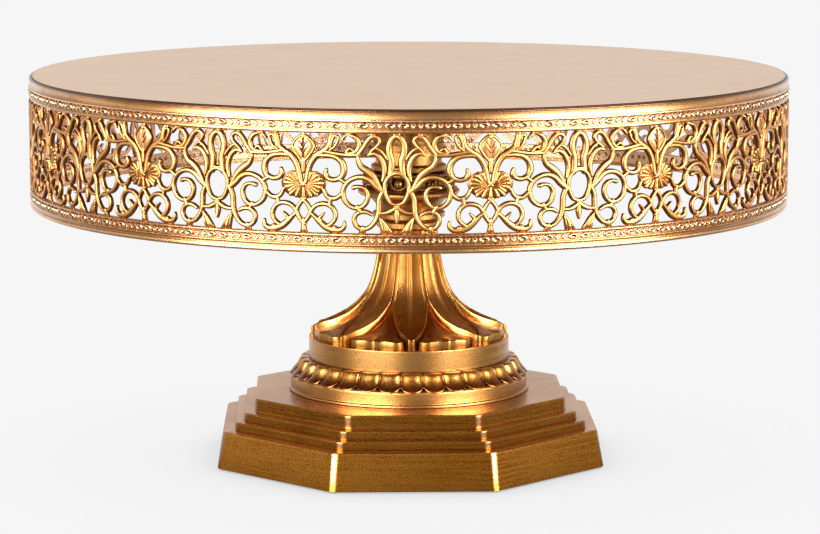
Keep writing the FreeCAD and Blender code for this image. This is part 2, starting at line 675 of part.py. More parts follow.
def ribbon(points, side):
    """A face as wide as the stroke, along a smooth line through its points."""
    middle = spline_through([bent(point, side) for point in points])
    left = []
    right = []
    for index, point in enumerate(points):
        at = middle.parameter(bent(point, side))
        along = middle.tangent(at)[0]
        across = FreeCAD.Vector(-along.z, 0, along.x)
        across.normalize()
        place = middle.value(at)
        left.append(place + across * point[2] / 2)
        right.append(place - across * point[2] / 2)
    if len(points) == 2:
        sides = [Part.makeLine(left[0], left[1]), Part.makeLine(right[1], right[0])]
    else:
        sides = [spline_through(left).toShape(), spline_through(right[::-1]).toShape()]
    ends = [Part.makeLine(left[-1], right[-1]), Part.makeLine(right[0], left[0])]
    return Part.Face(Part.Wire([sides[0], ends[0], sides[1], ends[1]]))


def leaf(points):
    """A filled leaf, symmetric about the panel's middle line."""
    half = [bent(point, 1) for point in points]
    other = [bent(point, -1) for point in points]
    edges = [spline_through(half).toShape(), spline_through(other[::-1]).toShape()]
    return Part.Face(Part.Wire(edges))


def make_panels():
    faces = [leaf(points) for points in LEAVES.values()]
    for points in STROKES.values():
        faces.append(ribbon(points, 1))
        faces.append(ribbon(points, -1))
    depth = value("band_radius") * (1.0 - math.cos(math.pi / value("panel_count"))) + 4.0
    prisms = []
    start = FreeCAD.Vector(0, -value("band_radius") - 1.0, 0)
    for face in faces:
        moved = face.copy()
        moved.translate(start)
        prisms.append(moved.extrude(FreeCAD.Vector(0, depth + 2.0, 0)))
    pattern = prisms[0].multiFuse(prisms[1:]).removeSplitter()
    sector = 360.0 / value("panel_count")
    wall = Part.makePolygon([
        FreeCAD.Vector(value("band_inner"), 0, value("lower_top")),
        FreeCAD.Vector(value("band_radius"), 0, value("lower_top")),
        FreeCAD.Vector(value("band_radius"), 0, value("upper_low")),
        FreeCAD.Vector(value("band_inner"), 0, value("upper_low")),
        FreeCAD.Vector(value("band_inner"), 0, value("lower_top")),
    ])
    blank = Part.Face(wall)
    blank.rotate(FreeCAD.Vector(0, 0, 0), FreeCAD.Vector(0, 0, 1), -90.0 - sector / 2)
    blank = blank.revolve(FreeCAD.Vector(0, 0, 0), FreeCAD.Vector(0, 0, 1), sector)
    panel = blank.common(pattern)
    panel = max(panel.Solids, key=lambda solid: solid.Volume)
    for index in range(int(value("panel_count"))):
        label = "filigree_panel_%02d" % (index + 1)
        feature = doc.addObject("Part::Feature", label)
        feature.Label = label
        feature.Shape = panel
        turn = FreeCAD.Rotation(FreeCAD.Vector(0, 0, 1), value("band_turn") + sector * (index + 0.5))
        feature.Placement = FreeCAD.Placement(FreeCAD.Vector(0, 0, 0), turn)
        pieces.append(feature)


def check_document():
    doc.recompute()
    for thing in doc.Objects:
        if "Invalid" in thing.State or "Error" in thing.State:
            raise ValueError("%s did not build: %s" % (thing.Name, thing.State))
    for piece in pieces:
        if piece.Shape.isNull() or not piece.Shape.isValid():
            raise ValueError(piece.Label + " has no valid shape")
        if len(piece.Shape.Solids) != 1:
            raise ValueError("%s has %d solids" % (piece.Label, len(piece.Shape.Solids)))


def write_pieces():
    os.makedirs("parts", exist_ok=True)
    for piece in pieces:
        piece.Shape.exportStep(os.path.join("parts", piece.Label + ".step"))
        box = piece.Shape.optimalBoundingBox(True, False)
        print("%-20s %9.1f mm3  z %7.2f to %7.2f" % (piece.Label, piece.Shape.Volume, box.ZMin, box.ZMax))


fill_sheet()
make_underside()
make_plinth()
make_foot()
make_tie_rod()
make_stem()
make_capital()
make_tray()
make_rails()
make_panels()
check_document()
write_pieces()
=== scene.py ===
import math
import bpy
import bmesh
from mathutils import Matrix, Vector


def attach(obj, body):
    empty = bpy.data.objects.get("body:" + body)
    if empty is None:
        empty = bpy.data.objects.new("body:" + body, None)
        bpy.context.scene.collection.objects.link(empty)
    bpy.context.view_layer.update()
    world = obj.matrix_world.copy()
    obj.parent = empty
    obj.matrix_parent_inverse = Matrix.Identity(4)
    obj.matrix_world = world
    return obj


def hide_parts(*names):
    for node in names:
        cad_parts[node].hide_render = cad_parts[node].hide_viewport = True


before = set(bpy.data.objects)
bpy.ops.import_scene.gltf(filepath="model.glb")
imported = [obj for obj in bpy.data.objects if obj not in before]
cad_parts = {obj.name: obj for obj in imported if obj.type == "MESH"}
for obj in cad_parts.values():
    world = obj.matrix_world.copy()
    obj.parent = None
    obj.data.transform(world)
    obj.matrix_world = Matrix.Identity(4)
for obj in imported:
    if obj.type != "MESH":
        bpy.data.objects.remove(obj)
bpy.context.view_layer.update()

MM = 0.001

# ---- Sizes in millimetres, angles in degrees ----
BAND_RADIUS = 127.0
HEM_LOW = 87.2
HEM_TOP = 88.6
HEM_INNER = 125.2
PANEL_COUNT = 14
PERIOD = 2.0 * math.pi * BAND_RADIUS / PANEL_COUNT
BAND_TURN = -3.2
RAIL_INNER = 124.6
BEAD_GROUND = 126.48
BEAD_RISE = 0.67
DENT_RISE = -0.22
UPPER_BEADS = 125.7
LOWER_BEADS = 91.2
TRAY_RADIUS = 126.0
TRAY_UNDER = 128.7
TRAY_TOP = 130.7
ROD_BORE = 4.2
SPIGOT_BORE = 31.1
SPIGOT_RADIUS = 31.0
SPIGOT_INNER = 28.0
PLINTH_LOW = 0.5
PLINTH_FOOT = 69.8
PLINTH_DRAFT = 9.7
PLINTH_ROUND = 3.6
FIRST_TIER = 12.9
PLINTH_TOP = 23.2
COLLAR_TOP = 28.9
LOBE_RADIUS = 40.5
LOBE_TOP = 34.0
LOBE_DEPTH = 2.7
LOBE_LIFT = 2.6
DRUM_RADIUS = 33.9
DRUM_TOP = 41.2
STEM_UNDER = 41.22
TIP_LOW = 41.9
STEM_TOP = 78.0
STEM_END = 33.15
EGG_LOW = 91.7
EGG_TOP = 97.2
PETAL_COUNT = 8
LOBE_COUNT = 32
EGG_COUNT = 12

# One half of a pierced panel, drawn flat: distance from the panel's middle line, height above
# the band's lowest edge, and the stroke's width there.  The other half is its mirror image.
STROKES = {
    "arm": [(-0.3, 20.5, 1.3), (0.8, 21.4, 1.5), (1.35, 24.0, 1.6), (2.2, 26.8, 1.7), (3.9, 29.2, 1.8),
            (6.2, 30.7, 1.8), (7.8, 32.2, 1.6), (8.4, 34.2, 1.5), (8.9, 36.6, 1.5)],
    "upper_scroll": [(4.2, 29.4, 1.2), (7.2, 29.5, 1.3), (10.0, 29.0, 1.5), (11.9, 27.4, 1.7),
                     (12.5, 25.2, 1.8), (11.9, 23.2, 1.6), (10.0, 22.2, 1.4), (8.0, 22.4, 1.4),
                     (6.9, 23.6, 1.5), (7.1, 25.1, 1.0)],
    "hook": [(6.2, 19.2, 1.0), (7.1, 17.4, 1.2), (8.6, 16.5, 1.4), (10.3, 16.7, 1.3), (11.9, 18.0, 1.2)],
    "middle_scroll": [(24.4, 18.7, 1.8), (22.2, 20.4, 1.7), (20.5, 22.1, 1.6), (18.5, 23.0, 1.5),
                      (16.2, 22.9, 1.4), (14.0, 21.8, 1.4), (12.6, 20.0, 1.4), (12.2, 18.0, 1.4),
                      (12.8, 15.9, 1.4), (14.4, 14.3, 1.3), (16.5, 13.7, 1.3), (18.5, 14.5, 1.4),
                      (19.6, 16.2, 1.4), (19.7, 18.2, 1.3), (18.6, 19.8, 1.1), (16.9, 20.2, 1.0),
                      (15.5, 19.9, 1.3)],
    "lower_scroll": [(24.4, 18.9, 1.6), (23.3, 16.5, 1.5), (23.1, 14.0, 1.5), (22.9, 11.8, 1.5),
                     (21.9, 9.6, 1.4), (20.2, 7.9, 1.3), (18.2, 7.4, 1.3), (16.4, 8.2, 1.3),
                     (15.6, 10.0, 1.3), (16.2, 11.7, 1.3), (17.8, 12.6, 1.3), (19.6, 12.5, 1.2),
                     (21.0, 11.8, 1.0)],
    "scroll_link": [(16.7, 14.0, 1.3), (17.4, 12.5, 1.3)],
    "scroll_foot": [(18.2, 7.6, 1.4), (18.0, 5.6, 2.2)],
    "side_link": [(11.0, 22.6, 1.2), (13.3, 21.1, 1.2)],
    "flame": [(16.9, 29.9, 0.9), (16.8, 28.2, 1.2), (17.7, 26.3, 1.7), (19.6, 24.9, 2.0),
              (21.4, 23.3, 1.8), (22.9, 21.0, 1.3), (24.0, 19.0, 1.1)],
    "horn": [(20.0, 29.7, 0.8), (21.7, 30.2, 1.3), (23.5, 29.0, 1.6), (24.6, 26.7, 1.6),
             (24.8, 24.4, 1.4), (24.2, 22.0, 0.9)],
    "top_loop": [(16.8, 29.8, 1.3), (18.4, 31.9, 1.4), (19.7, 34.0, 1.4), (21.3, 35.4, 1.4),
                 (22.9, 34.9, 1.2), (23.3, 33.5, 1.1), (22.3, 32.2, 1.1), (21.0, 31.1, 1.0),
                 (20.1, 29.8, 0.8)],
    "loop_tie": [(21.3, 35.2, 1.4), (21.3, 36.6, 1.8)],
    "horn_edge": [(22.2, 32.0, 0.9), (23.9, 30.9, 1.0), (25.6, 28.6, 0.8)],
    "ledge": [(6.6, 30.7, 1.2), (10.0, 30.1, 1.2), (13.4, 29.7, 1.2), (16.9, 29.8, 1.4)],
    "top_hook": [(13.6, 30.1, 1.2), (15.2, 30.3, 1.3), (16.6, 31.2, 1.4), (17.2, 33.0, 1.5),
                 (16.4, 34.7, 1.4), (15.0, 35.7, 1.3), (13.4, 36.6, 1.3)],
    "top_curl": [(13.2, 30.4, 1.0), (14.2, 31.7, 1.0), (15.2, 31.2, 0.8)],
    "top_spur": [(13.5, 36.6, 1.0), (12.7, 35.3, 1.0), (11.9, 34.3, 0.7)],
    "drop_left": [(8.4, 31.8, 0.9), (8.8, 33.8, 0.9), (9.5, 35.2, 1.0), (9.9, 36.6, 1.4)],
    "drop_right": [(9.7, 35.6, 1.0), (10.7, 35.0, 0.9), (10.5, 33.5, 0.9), (9.6, 32.1, 0.9),
                   (8.3, 31.1, 0.9)],
    "lancet": [(26.6, 23.7, 1.9), (26.9, 26.0, 1.9), (26.9, 28.0, 2.0), (26.3, 30.0, 1.9),
               (26.2, 32.3, 1.8), (27.0, 34.4, 1.8), (28.8, 36.2, 1.9)],
    "oval": [(28.5, 24.35, 1.2), (26.6, 23.7, 1.2), (25.2, 21.9, 1.2), (24.85, 19.85, 1.2),
             (25.2, 17.8, 1.2), (26.5, 15.5, 1.2), (28.5, 14.75, 1.2)],
    "oval_cap": [(28.2, 24.7, 1.0), (30.0, 24.7, 1.0)],
    "star": [(28.9, 14.3, 1.0), (27.3, 13.2, 1.5), (25.4, 12.4, 1.3), (23.0, 12.3, 0.9)],
    "drop": [(28.5, 13.0, 1.2), (28.5, 11.4, 1.7), (28.5, 9.4, 0.6)],
    "fern": [(23.6, 10.6, 0.8), (24.8, 8.7, 1.3), (25.7, 5.6, 1.8)],
    "base_scroll": [(2.2, 12.2, 1.2), (3.3, 13.8, 1.2), (5.0, 14.7, 1.3), (7.0, 14.8, 1.3),
                    (8.8, 13.9, 1.3), (9.8, 12.2, 1.3), (9.8, 10.4, 1.2), (8.8, 9.0, 1.2),
                    (7.6, 8.2, 1.2)],
    "base_link": [(8.1, 14.4, 1.2), (8.4, 16.6, 1.2)],
    "base_leaf": [(2.0, 12.2, 1.0), (3.6, 10.8, 1.3), (5.2, 9.2, 1.7), (7.0, 7.8, 1.9), (9.2, 7.0, 1.9),
                  (11.2, 7.0, 1.6), (12.5, 7.9, 1.3), (12.6, 9.4, 0.8)],
    "leaf_foot": [(9.6, 7.2, 2.0), (10.0, 5.6, 2.8)],
    "leaf_curl": [(5.7, 8.7, 1.2), (5.0, 10.2, 1.1), (5.6, 11.2, 0.9), (6.3, 11.9, 0.6)],
    "lozenge": [(-0.4, 16.3, 1.1), (1.2, 14.6, 1.1), (2.2, 12.4, 1.3), (1.2, 10.3, 1.2),
                (-0.2, 8.7, 1.2)],
    "lozenge_foot": [(0.0, 9.8, 1.2), (0.0, 7.6, 1.4), (0.0, 5.6, 2.4)],
    "bud_neck": [(0.0, 28.2, 1.4), (0.0, 24.6, 1.4)],
    "bud_tie": [(0.0, 34.8, 1.2), (0.0, 36.6, 1.6)],
}
LEAVES = {
    "shell": [(0.0, 20.6), (1.6, 23.2), (2.4, 24.6), (4.0, 24.6), (5.7, 23.7), (6.7, 22.4), (7.1, 20.9),
              (6.7, 19.3), (5.7, 18.0), (4.5, 17.1), (2.6, 16.7), (1.2, 16.3), (0.0, 15.9)],
    "bud": [(0.0, 27.2), (1.5, 28.9), (2.9, 30.8), (3.3, 32.1), (2.6, 33.7), (1.3, 34.9), (0.0, 35.6)],
}
# Height of each leaf, and the patina and painted light of its face: painted shade on the shell's face
# between its ribs, and a pale painted highlight on the bud's.
LEAF_FACES = {"shell": (0.66, 0.95), "bud": (0.74, -0.2)}
# The shell's ribs fan out from its centre, at these angles in degrees.
SHELL_CENTRE = (1.5, 20.9)
SHELL_REACH = (5.3, 3.9)
SHELL_RIBS = (78, 52, 27, 2, -23, -48)
# Other thin ribs that lie on the leaves, each from a start to an end.
SHELL_TAIL = [((0.0, 19.6), (0.0, 16.8)), ((1.3, 19.2), (2.2, 17.2)), ((2.4, 19.2), (4.0, 17.6))]
BUD_VEINS = [((0.0, 27.8), (0.0, 35.2)), ((0.0, 30.4), (1.7, 32.2)), ((0.0, 32.0), (1.3, 33.6))]
FERN_RIBS = [((23.6, 10.2), (24.5, 5.9)), ((24.2, 9.9), (25.7, 5.9)), ((24.9, 9.4), (26.9, 6.1))]
# Beads on the rails, from the panel's edge towards its middle: distance, and long or round.
BEADS = [(2.0, True), (5.0, False), (7.3, False), (10.2, True), (13.2, False), (15.4, False),
         (18.4, True), (21.4, False), (23.6, False), (26.6, True)]

STROKE_BREADTH = 1.17
PANEL_THICKNESS = 1.20


def both_sides(half):
    """A section that is given from its left edge to its middle, with its right half added."""
    return half + [(-row[0],) + row[1:] for row in reversed(half[:-1])]


# Section across a stroke: place (-1 to 1), height (0 to 1), and patina with painted light (1 is the
# darkest): painted shade down the sides, a painted highlight on the crown, and a pale painted sheen on
# the back.
STROKE_SECTION = both_sides([(-0.96, 0.0, -0.8), (-1.0, 0.06, 1.0), (-1.0, 0.38, 1.0),
                             (-0.95, 0.55, 1.0), (-0.80, 0.74, 0.95), (-0.56, 0.90, 0.50),
                             (-0.26, 0.98, 0.05), (0.0, 1.0, -0.1)])
# Ribs and veins take the same columns: ribs have painted shade down their sides, and veins are dark all
# over.
RIB_SECTION = both_sides([(-1.0, 0.0, 1.0), (-1.0, 0.55, 1.0), (-0.75, 0.82, 0.7),
                          (-0.35, 0.96, 0.15), (0.0, 1.0, 0.0)])
VEIN_SECTION = both_sides([(-1.0, 0.0, 1.0), (-1.0, 0.8, 1.0), (0.0, 1.0, 1.0)])

# Half the length and half the height of a bead or a dent; and its rings, from its foot to its
# top: size, height, and patina with painted light (painted shade at the foot and in the hollow
# top, a painted highlight round the rim).
LONG_SIZE = (1.74, 1.06)
ROUND_SIZE = (0.88, 0.90)
DENT_SIZE = (0.75, 0.75)
ROUND_BEAD = [(1.0, -0.25, 1.0), (1.0, 0.05, 0.9), (0.88, 0.55, 0.0), (0.66, 0.92, -0.8),
              (0.44, 0.95, -0.6), (0.18, 0.72, 0.9)]
LONG_BEAD = [(1.0, -0.25, 1.0), (1.0, 0.05, 0.9), (0.92, 0.55, 0.0), (0.76, 0.92, -0.8),
             (0.60, 1.0, -0.6), (0.40, 0.80, 0.7), (0.16, 0.62, 1.0)]
DENT = [(1.0, -0.1, 1.0), (1.0, 0.3, 1.0), (0.8, 1.0, 0.8), (0.4, 1.0, 0.4)]


# ---- Meshes ----
class Shell:
    """Points in millimetres, the patina and painted light of each, and faces, collected into one mesh.
    """

    def __init__(self):
        self.points = []
        self.patina_and_painted_light = []
        self.faces = []

    def add_rings(self, points, patina_and_painted_light, count, closed=False):
        """Rings of count points each, joined into a tube with capped ends or into a closed loop."""
        rows = len(points) // count
        faces = []
        for row in range(rows if closed else rows - 1):
            following = (row + 1) % rows
            for index in range(count):
                near = (index + 1) % count
                faces.append((row * count + index, row * count + near,
                              following * count + near, following * count + index))
        if not closed:
            faces.append(tuple(range(count)))
            faces.append(tuple(reversed(range((rows - 1) * count, rows * count))))
        first = len(self.points)
        self.points.extend(points)
        self.patina_and_painted_light.extend(patina_and_painted_light)
        self.faces.extend(tuple(first + index for index in face) for face in faces)

    def mesh(self, name, sharp_angle=40.0, weld=False):
        """One smooth mesh with its patina and painted light, sharp where it bends by more than the sharp
        angle.
        """
        made = bpy.data.meshes.new(name)
        made.from_pydata([Vector(point) * MM for point in self.points], [], self.faces)
        layer = made.attributes.new("patina_and_painted_light", "FLOAT", "POINT")
        layer.data.foreach_set("value", self.patina_and_painted_light)
        work = bmesh.new()
        work.from_mesh(made)
        if weld:
            bmesh.ops.remove_doubles(work, verts=work.verts, dist=1e-7)
        bmesh.ops.recalc_face_normals(work, faces=work.faces)
        work.to_mesh(made)
        work.free()
        made.shade_smooth()
        made.set_sharp_from_angle(angle=math.radians(sharp_angle))
        return made


def place(name, mesh, material, body, nodes):
    """One visible piece on its body, in place of the named CAD nodes."""
    piece = bpy.data.objects.new(name, mesh)
    bpy.context.collection.objects.link(piece)
    mesh.materials.append(material)
    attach(piece, body)
    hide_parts(*nodes)
    return piece


def ease(low, high, at):
    """A smooth step from 0 at low to 1 at high, whichever of them is the larger."""
    part = min(max((at - low) / (high - low), 0.0), 1.0)
    return part * part * (3.0 - 2.0 * part)


def rounded(corners, arc_steps=5):
    """A closed section with its corners rounded.  Each corner is (radius, level, round, patina with
    painted light).
    """
    section = []
    count = len(corners)
    support = 0.04
    for index, (radius, level, fillet, patina_and_painted_light) in enumerate(corners):
        here = Vector((radius, level))
        before = Vector(corners[index - 1][:2]) - here
        after = Vector(corners[(index + 1) % count][:2]) - here
        if fillet <= 0.0:
            section.append((radius, level, patina_and_painted_light))
            continue
        reach = min(fillet, before.length * 0.48, after.length * 0.48)
        start = here + before.normalized() * reach
        end = here + after.normalized() * reach
        if before.length > reach * 1.2:
            lead = start + before.normalized() * min(support, before.length * 0.01)
            section.append((lead.x, lead.y, patina_and_painted_light))
        for step in range(arc_steps + 1):
            part = step / arc_steps
            spot = start * (1 - part) ** 2 + here * 2 * part * (1 - part) + end * part ** 2
            section.append((spot.x, spot.y, patina_and_painted_light))
        if after.length > reach * 1.2:
            lead = end + after.normalized() * min(support, after.length * 0.01)
            section.append((lead.x, lead.y, patina_and_painted_light))
    return section


def lathe(shell, section, steps, shape=None):
    """Turns a closed section about the Z axis; shape may move a point by its angle."""
    points = []
    patina_and_painted_light = []
    for step in range(steps):
        turn = 2.0 * math.pi * step / steps
        for radius, level, dark in section:
            if shape:
                radius, level, dark = shape(radius, level, dark, turn)
            points.append((radius * math.cos(turn), radius * math.sin(turn), level))
            patina_and_painted_light.append(dark)
    shell.add_rings(points, patina_and_painted_light, len(section), closed=True)


def under_rail(level):
    """How far a stroke's face sinks where its end runs under a rail."""
    return 0.60 * max(ease(6.5, 6.0, level), ease(35.6, 36.1, level))


def round_band(distance, level, inset):
    """A place on the unrolled band, wrapped round the tray's axis; the panel faces -Y."""
    turn = distance / BAND_RADIUS
    radius = BAND_RADIUS - inset
    return (radius * math.sin(turn), -radius * math.cos(turn), HEM_LOW + level)


def smooth_line(points, steps=5):
    """A Catmull-Rom line through the points; each point may carry further numbers."""
    if len(points) == 2:
        return [tuple(a + (b - a) * part / 3.0 for a, b in zip(*points)) for part in range(4)]
    line = []
    for index in range(len(points) - 1):
        four = [points[max(index - 1, 0)], points[index], points[index + 1],
                points[min(index + 2, len(points) - 1)]]
        for step in range(steps):
            t = step / steps
            line.append(tuple(
                0.5 * (2 * b + (c - a) * t + (2 * a - 5 * b + 4 * c - d) * t * t
                       + (3 * b - a - 3 * c + d) * t ** 3)
                for a, b, c, d in zip(*four)))
    line.append(tuple(points[-1]))
    return line


def ribbon(shell, line, section, foot, height):
    """A stroke along the line of (distance, level, width): foot is its depth at the back and
    height its full rise.  Its ends are rounded."""
    stations = []
    for index, (u, v, width) in enumerate(line):
        before = line[max(index - 1, 0)]
        after = line[min(index + 1, len(line) - 1)]
        along = Vector((after[0] - before[0], after[1] - before[1])).normalized()
        stations.append((Vector((u, v)), along, width * STROKE_BREADTH / 2.0, 1.0))
    caps = [(0.50, 0.87, 0.96), (0.87, 0.50, 0.80), (0.99, 0.15, 0.60)]
    first = stations[0]
    last = stations[-1]
    lead = [(first[0] - first[1] * first[2] * out, first[1], first[2] * side, rise)
            for out, side, rise in reversed(caps)]
    tail = [(last[0] + last[1] * last[2] * out, last[1], last[2] * side, rise)
            for out, side, rise in caps]
    stations = lead + stations + tail
    points = []
    patina_and_painted_light = []
    for spot, along, half, rise in stations:
        across = Vector((-along.y, along.x))
        for side, up, dark in section:
            flat = spot + across * half * side
            points.append(round_band(flat.x, flat.y, foot - up * (rise * height - under_rail(flat.y))))
            patina_and_painted_light.append(dark)
    shell.add_rings(points, patina_and_painted_light, len(section))


def leaf(shell, outline, foot, height, dark_face):
    """A leaf with an upright edge, a small bevel and a gently crowned face."""
    centre = Vector((sum(p[0] for p in outline), sum(p[1] for p in outline))) / len(outline)
    # Painted light: a pale painted sheen on the back, painted shade down the upright edge, then the
    # face's own value.
    rings = [(0.95, 0.0, -0.8), (1.0, 0.1, 1.0), (1.0, 0.7, 1.0), (0.93, 1.0, dark_face),
             (0.66, 1.28, dark_face), (0.30, 1.42, dark_face)]
    points = []
    patina_and_painted_light = []
    for scale, up, dark in rings:
        for corner in outline:
            flat = centre + (Vector(corner) - centre) * scale
            points.append(round_band(flat.x, flat.y, foot - up * height))
            patina_and_painted_light.append(dark)
    shell.add_rings(points, patina_and_painted_light, len(outline))


def dome(shell, distance, level, size, ground, rise, rings):
    """A bead standing on a rail's ground, or a dent in it if the rise is below 0."""
    half_long, half_high = size
    around = 14
    turn = distance / BAND_RADIUS
    points = []
    patina_and_painted_light = []
    for scale, up, dark in rings:
        for step in range(around):
            angle = 2.0 * math.pi * step / around
            spot = turn + half_long * scale * math.cos(angle) / ground
            radius = ground + rise * up
            points.append((radius * math.sin(spot), -radius * math.cos(spot),
                           level + half_high * scale * math.sin(angle)))
            patina_and_painted_light.append(dark)
    shell.add_rings(points, patina_and_painted_light, around)


# ---- Materials ----
def shade(red, green, blue):
    """A colour given by its screen values, as linear light."""
    parts = [((value / 255 + 0.055) / 1.055) ** 2.4 if value > 10 else value / 3294.6
             for value in (red, green, blue)]
    return tuple(parts) + (1.0,)


def node(tree, kind, inputs=None, **settings):
    """A shader node with its settings; each of its inputs gets a value or another node's output."""
    made = tree.nodes.new(kind)
    for name, setting in settings.items():
        setattr(made, name, setting)
    for name, given in (inputs or {}).items():
        if isinstance(given, bpy.types.NodeSocket):
            tree.links.new(given, made.inputs[name])
        else:
            made.inputs[name].default_value = given
    return made


def spread(tree, value, low, high, to_low=0.0, to_high=1.0, **settings):
    """The value, with low to high mapped on to_low to to_high."""
    made = node(tree, "ShaderNodeMapRange", {"Value": value, "From Min": low, "From Max": high,
                                             "To Min": to_low, "To Max": to_high}, **settings)
    return made.outputs["Result"]


def blend(tree, share, first, second):
    """A colour between the first and the second."""
    made = node(tree, "ShaderNodeMix", {"Factor": share, "A": first, "B": second}, data_type="RGBA")
    return made.outputs["Result"]


def noise(tree, where, scale, detail, **inputs):
    """Fine noise over a place, which is another node's output."""
    made = node(tree, "ShaderNodeTexNoise",
                {"Vector": where, "Scale": scale, "Detail": detail, **inputs})
    return made.outputs["Fac"]


def maths(tree, operation, first, second, third=None, clamp=False):
    """A sum or product of values."""
    inputs = {0: first, 1: second}
    if third is not None:
        inputs[2] = third
    made = node(tree, "ShaderNodeMath", inputs, operation=operation, use_clamp=clamp)
    return made.outputs["Value"]


def empty_material(name):
    """A material with no nodes yet, and its node tree."""
    material = bpy.data.materials.new(name)
    material.use_nodes = True
    material.node_tree.nodes.clear()
    return material, material.node_tree


def cast_metal(name, bright, mid, dark, stretch, rough, grain=0.02, patina_and_shade_depth=0.9, coat=0.0,
               blotch=0.5, flake=0.25, patch=85.0, dulling=0.16, edge=(1.0, 1.0, 1.0, 1.0),
               painted_highlight=(0.93, 0.74, 0.50, 1.0)):
    """Antiqued gold paint on cast metal: patina and painted shade in the low places (above 0), a
    paler painted highlight where the value is below 0, brush marks along the stretch, and fine grain."""
    material, tree = empty_material(name)
    spot = node(tree, "ShaderNodeTexCoord").outputs["Object"]
    stretched = node(tree, "ShaderNodeMapping", {"Vector": spot, "Scale": stretch})
    marks = noise(tree, stretched.outputs["Vector"], 1.0, 5.0, Roughness=0.62)
    clouds = noise(tree, spot, patch, 3.0)
    speck = noise(tree, spot, 2600.0, 2.0)

    # How far the paint is worn from its bright to its middle colour.
    streak = spread(tree, marks, 0.36, 0.66)
    wear = maths(tree, "MULTIPLY", streak, spread(tree, clouds, 0.38, 0.64))
    brushed = maths(tree, "MULTIPLY_ADD", streak, blotch, wear)
    worn = maths(tree, "ADD", brushed, spread(tree, speck, 0.35, 0.65, -flake, flake), clamp=True)
    body = blend(tree, worn, bright, mid)

    # Patina and painted shade in the low places, and a paler painted highlight where the value is below
    # 0.
    patina_and_painted_light = node(tree, "ShaderNodeAttribute", attribute_name="patina_and_painted_light").outputs["Fac"]
    low = maths(tree, "MULTIPLY", patina_and_painted_light, patina_and_shade_depth, clamp=True)
    highlight_share = maths(tree, "MULTIPLY", patina_and_painted_light, -1.0, clamp=True)
    colour = blend(tree, highlight_share, blend(tree, low, body, dark), painted_highlight)

    relief = maths(tree, "ADD", marks, speck)
    bump = node(tree, "ShaderNodeBump", {"Strength": 1.0, "Distance": grain * MM, "Height": relief})
    shader = node(tree, "ShaderNodeBsdfPrincipled", {
        "Base Color": colour, "Metallic": 1.0, "Specular Tint": edge,
        "Roughness": spread(tree, worn, 0.0, 1.0, rough, rough + dulling),
        "Coat Weight": coat, "Coat IOR": 1.9, "Coat Roughness": rough,
        "Normal": bump.outputs["Normal"]})
    node(tree, "ShaderNodeOutputMaterial", {"Surface": shader.outputs["BSDF"]})
    return material


def felt_cloth(name):
    """Dark felt with a soft, fibrous surface."""
    material, tree = empty_material(name)
    spot = node(tree, "ShaderNodeTexCoord").outputs["Object"]
    fibres = noise(tree, spot, 1800.0, 4.0, Distortion=1.5)
    bump = node(tree, "ShaderNodeBump", {"Distance": 0.1 * MM, "Height": fibres})
    shader = node(tree, "ShaderNodeBsdfPrincipled", {
        "Base Color": blend(tree, fibres, shade(30, 26, 24), shade(72, 64, 58)),
        "Roughness": 0.95, "Sheen Weight": 0.4, "Normal": bump.outputs["Normal"]})
    node(tree, "ShaderNodeOutputMaterial", {"Surface": shader.outputs["BSDF"]})
    return material


# How closely the brush marks follow each other along X, Y and Z: long marks have a low value.
ROUND_STREAKS = (30.0, 30.0, 1500.0)
EVEN_STREAKS = (260.0, 260.0, 260.0)
UPRIGHT_STREAKS = (160.0, 160.0, 22.0)

# In the materials below, the third colour is patina and painted shade, and a pale colour given as the
# last argument is a painted highlight (on the plinth's ledges, a painted reflection).
band_gold = cast_metal("band_gold", shade(216, 154, 80), shade(186, 124, 50), shade(112, 54, 0),
                       EVEN_STREAKS, 0.33, grain=0.003, patina_and_shade_depth=0.94, coat=0.24, blotch=0.3,
                       flake=0.3, dulling=0.08, painted_highlight=shade(232, 186, 146))
rail_gold = cast_metal("rail_gold", shade(204, 146, 78), shade(156, 100, 36), shade(98, 46, 0),
                       (500.0, 500.0, 1400.0), 0.26, grain=0.003, patina_and_shade_depth=0.92, coat=0.45,
                       blotch=0.3, flake=0.5, dulling=0.08, painted_highlight=shade(240, 198, 156))
plate_gold = cast_metal("plate_gold", shade(244, 207, 170), shade(240, 202, 162), shade(82, 40, 0),
                        (30.0, 30.0, 30.0), 0.34, grain=0.001, blotch=0.3, flake=0.5, dulling=0.02)
stem_gold = cast_metal("stem_gold", shade(198, 146, 78), shade(152, 100, 38), shade(150, 80, 0),
                       UPRIGHT_STREAKS, 0.25, grain=0.003, patina_and_shade_depth=0.92, coat=0.08, blotch=0.6,
                       dulling=0.12)
drum_gold = cast_metal("drum_gold", shade(202, 148, 80), shade(150, 98, 38), shade(88, 44, 3),
                       ROUND_STREAKS, 0.27, grain=0.002, patina_and_shade_depth=0.9, coat=0.12, blotch=0.3,
                       flake=0.55, dulling=0.11)
gadroon_gold = cast_metal("gadroon_gold", shade(226, 168, 88), shade(188, 124, 44), shade(112, 50, 0),
                          EVEN_STREAKS, 0.22, grain=0.004, patina_and_shade_depth=0.96, coat=0.15, blotch=0.6,
                          flake=0.3)
plinth_gold = cast_metal("plinth_gold", shade(180, 119, 45), shade(126, 73, 13), shade(76, 38, 4),
                         (42.0, 42.0, 1500.0), 0.25, grain=0.0008, patina_and_shade_depth=0.9, blotch=0.35,
                         flake=0.8, patch=45.0, dulling=0.04, edge=(1.0, 0.95, 0.90, 1.0),
                         painted_highlight=shade(226, 186, 160))
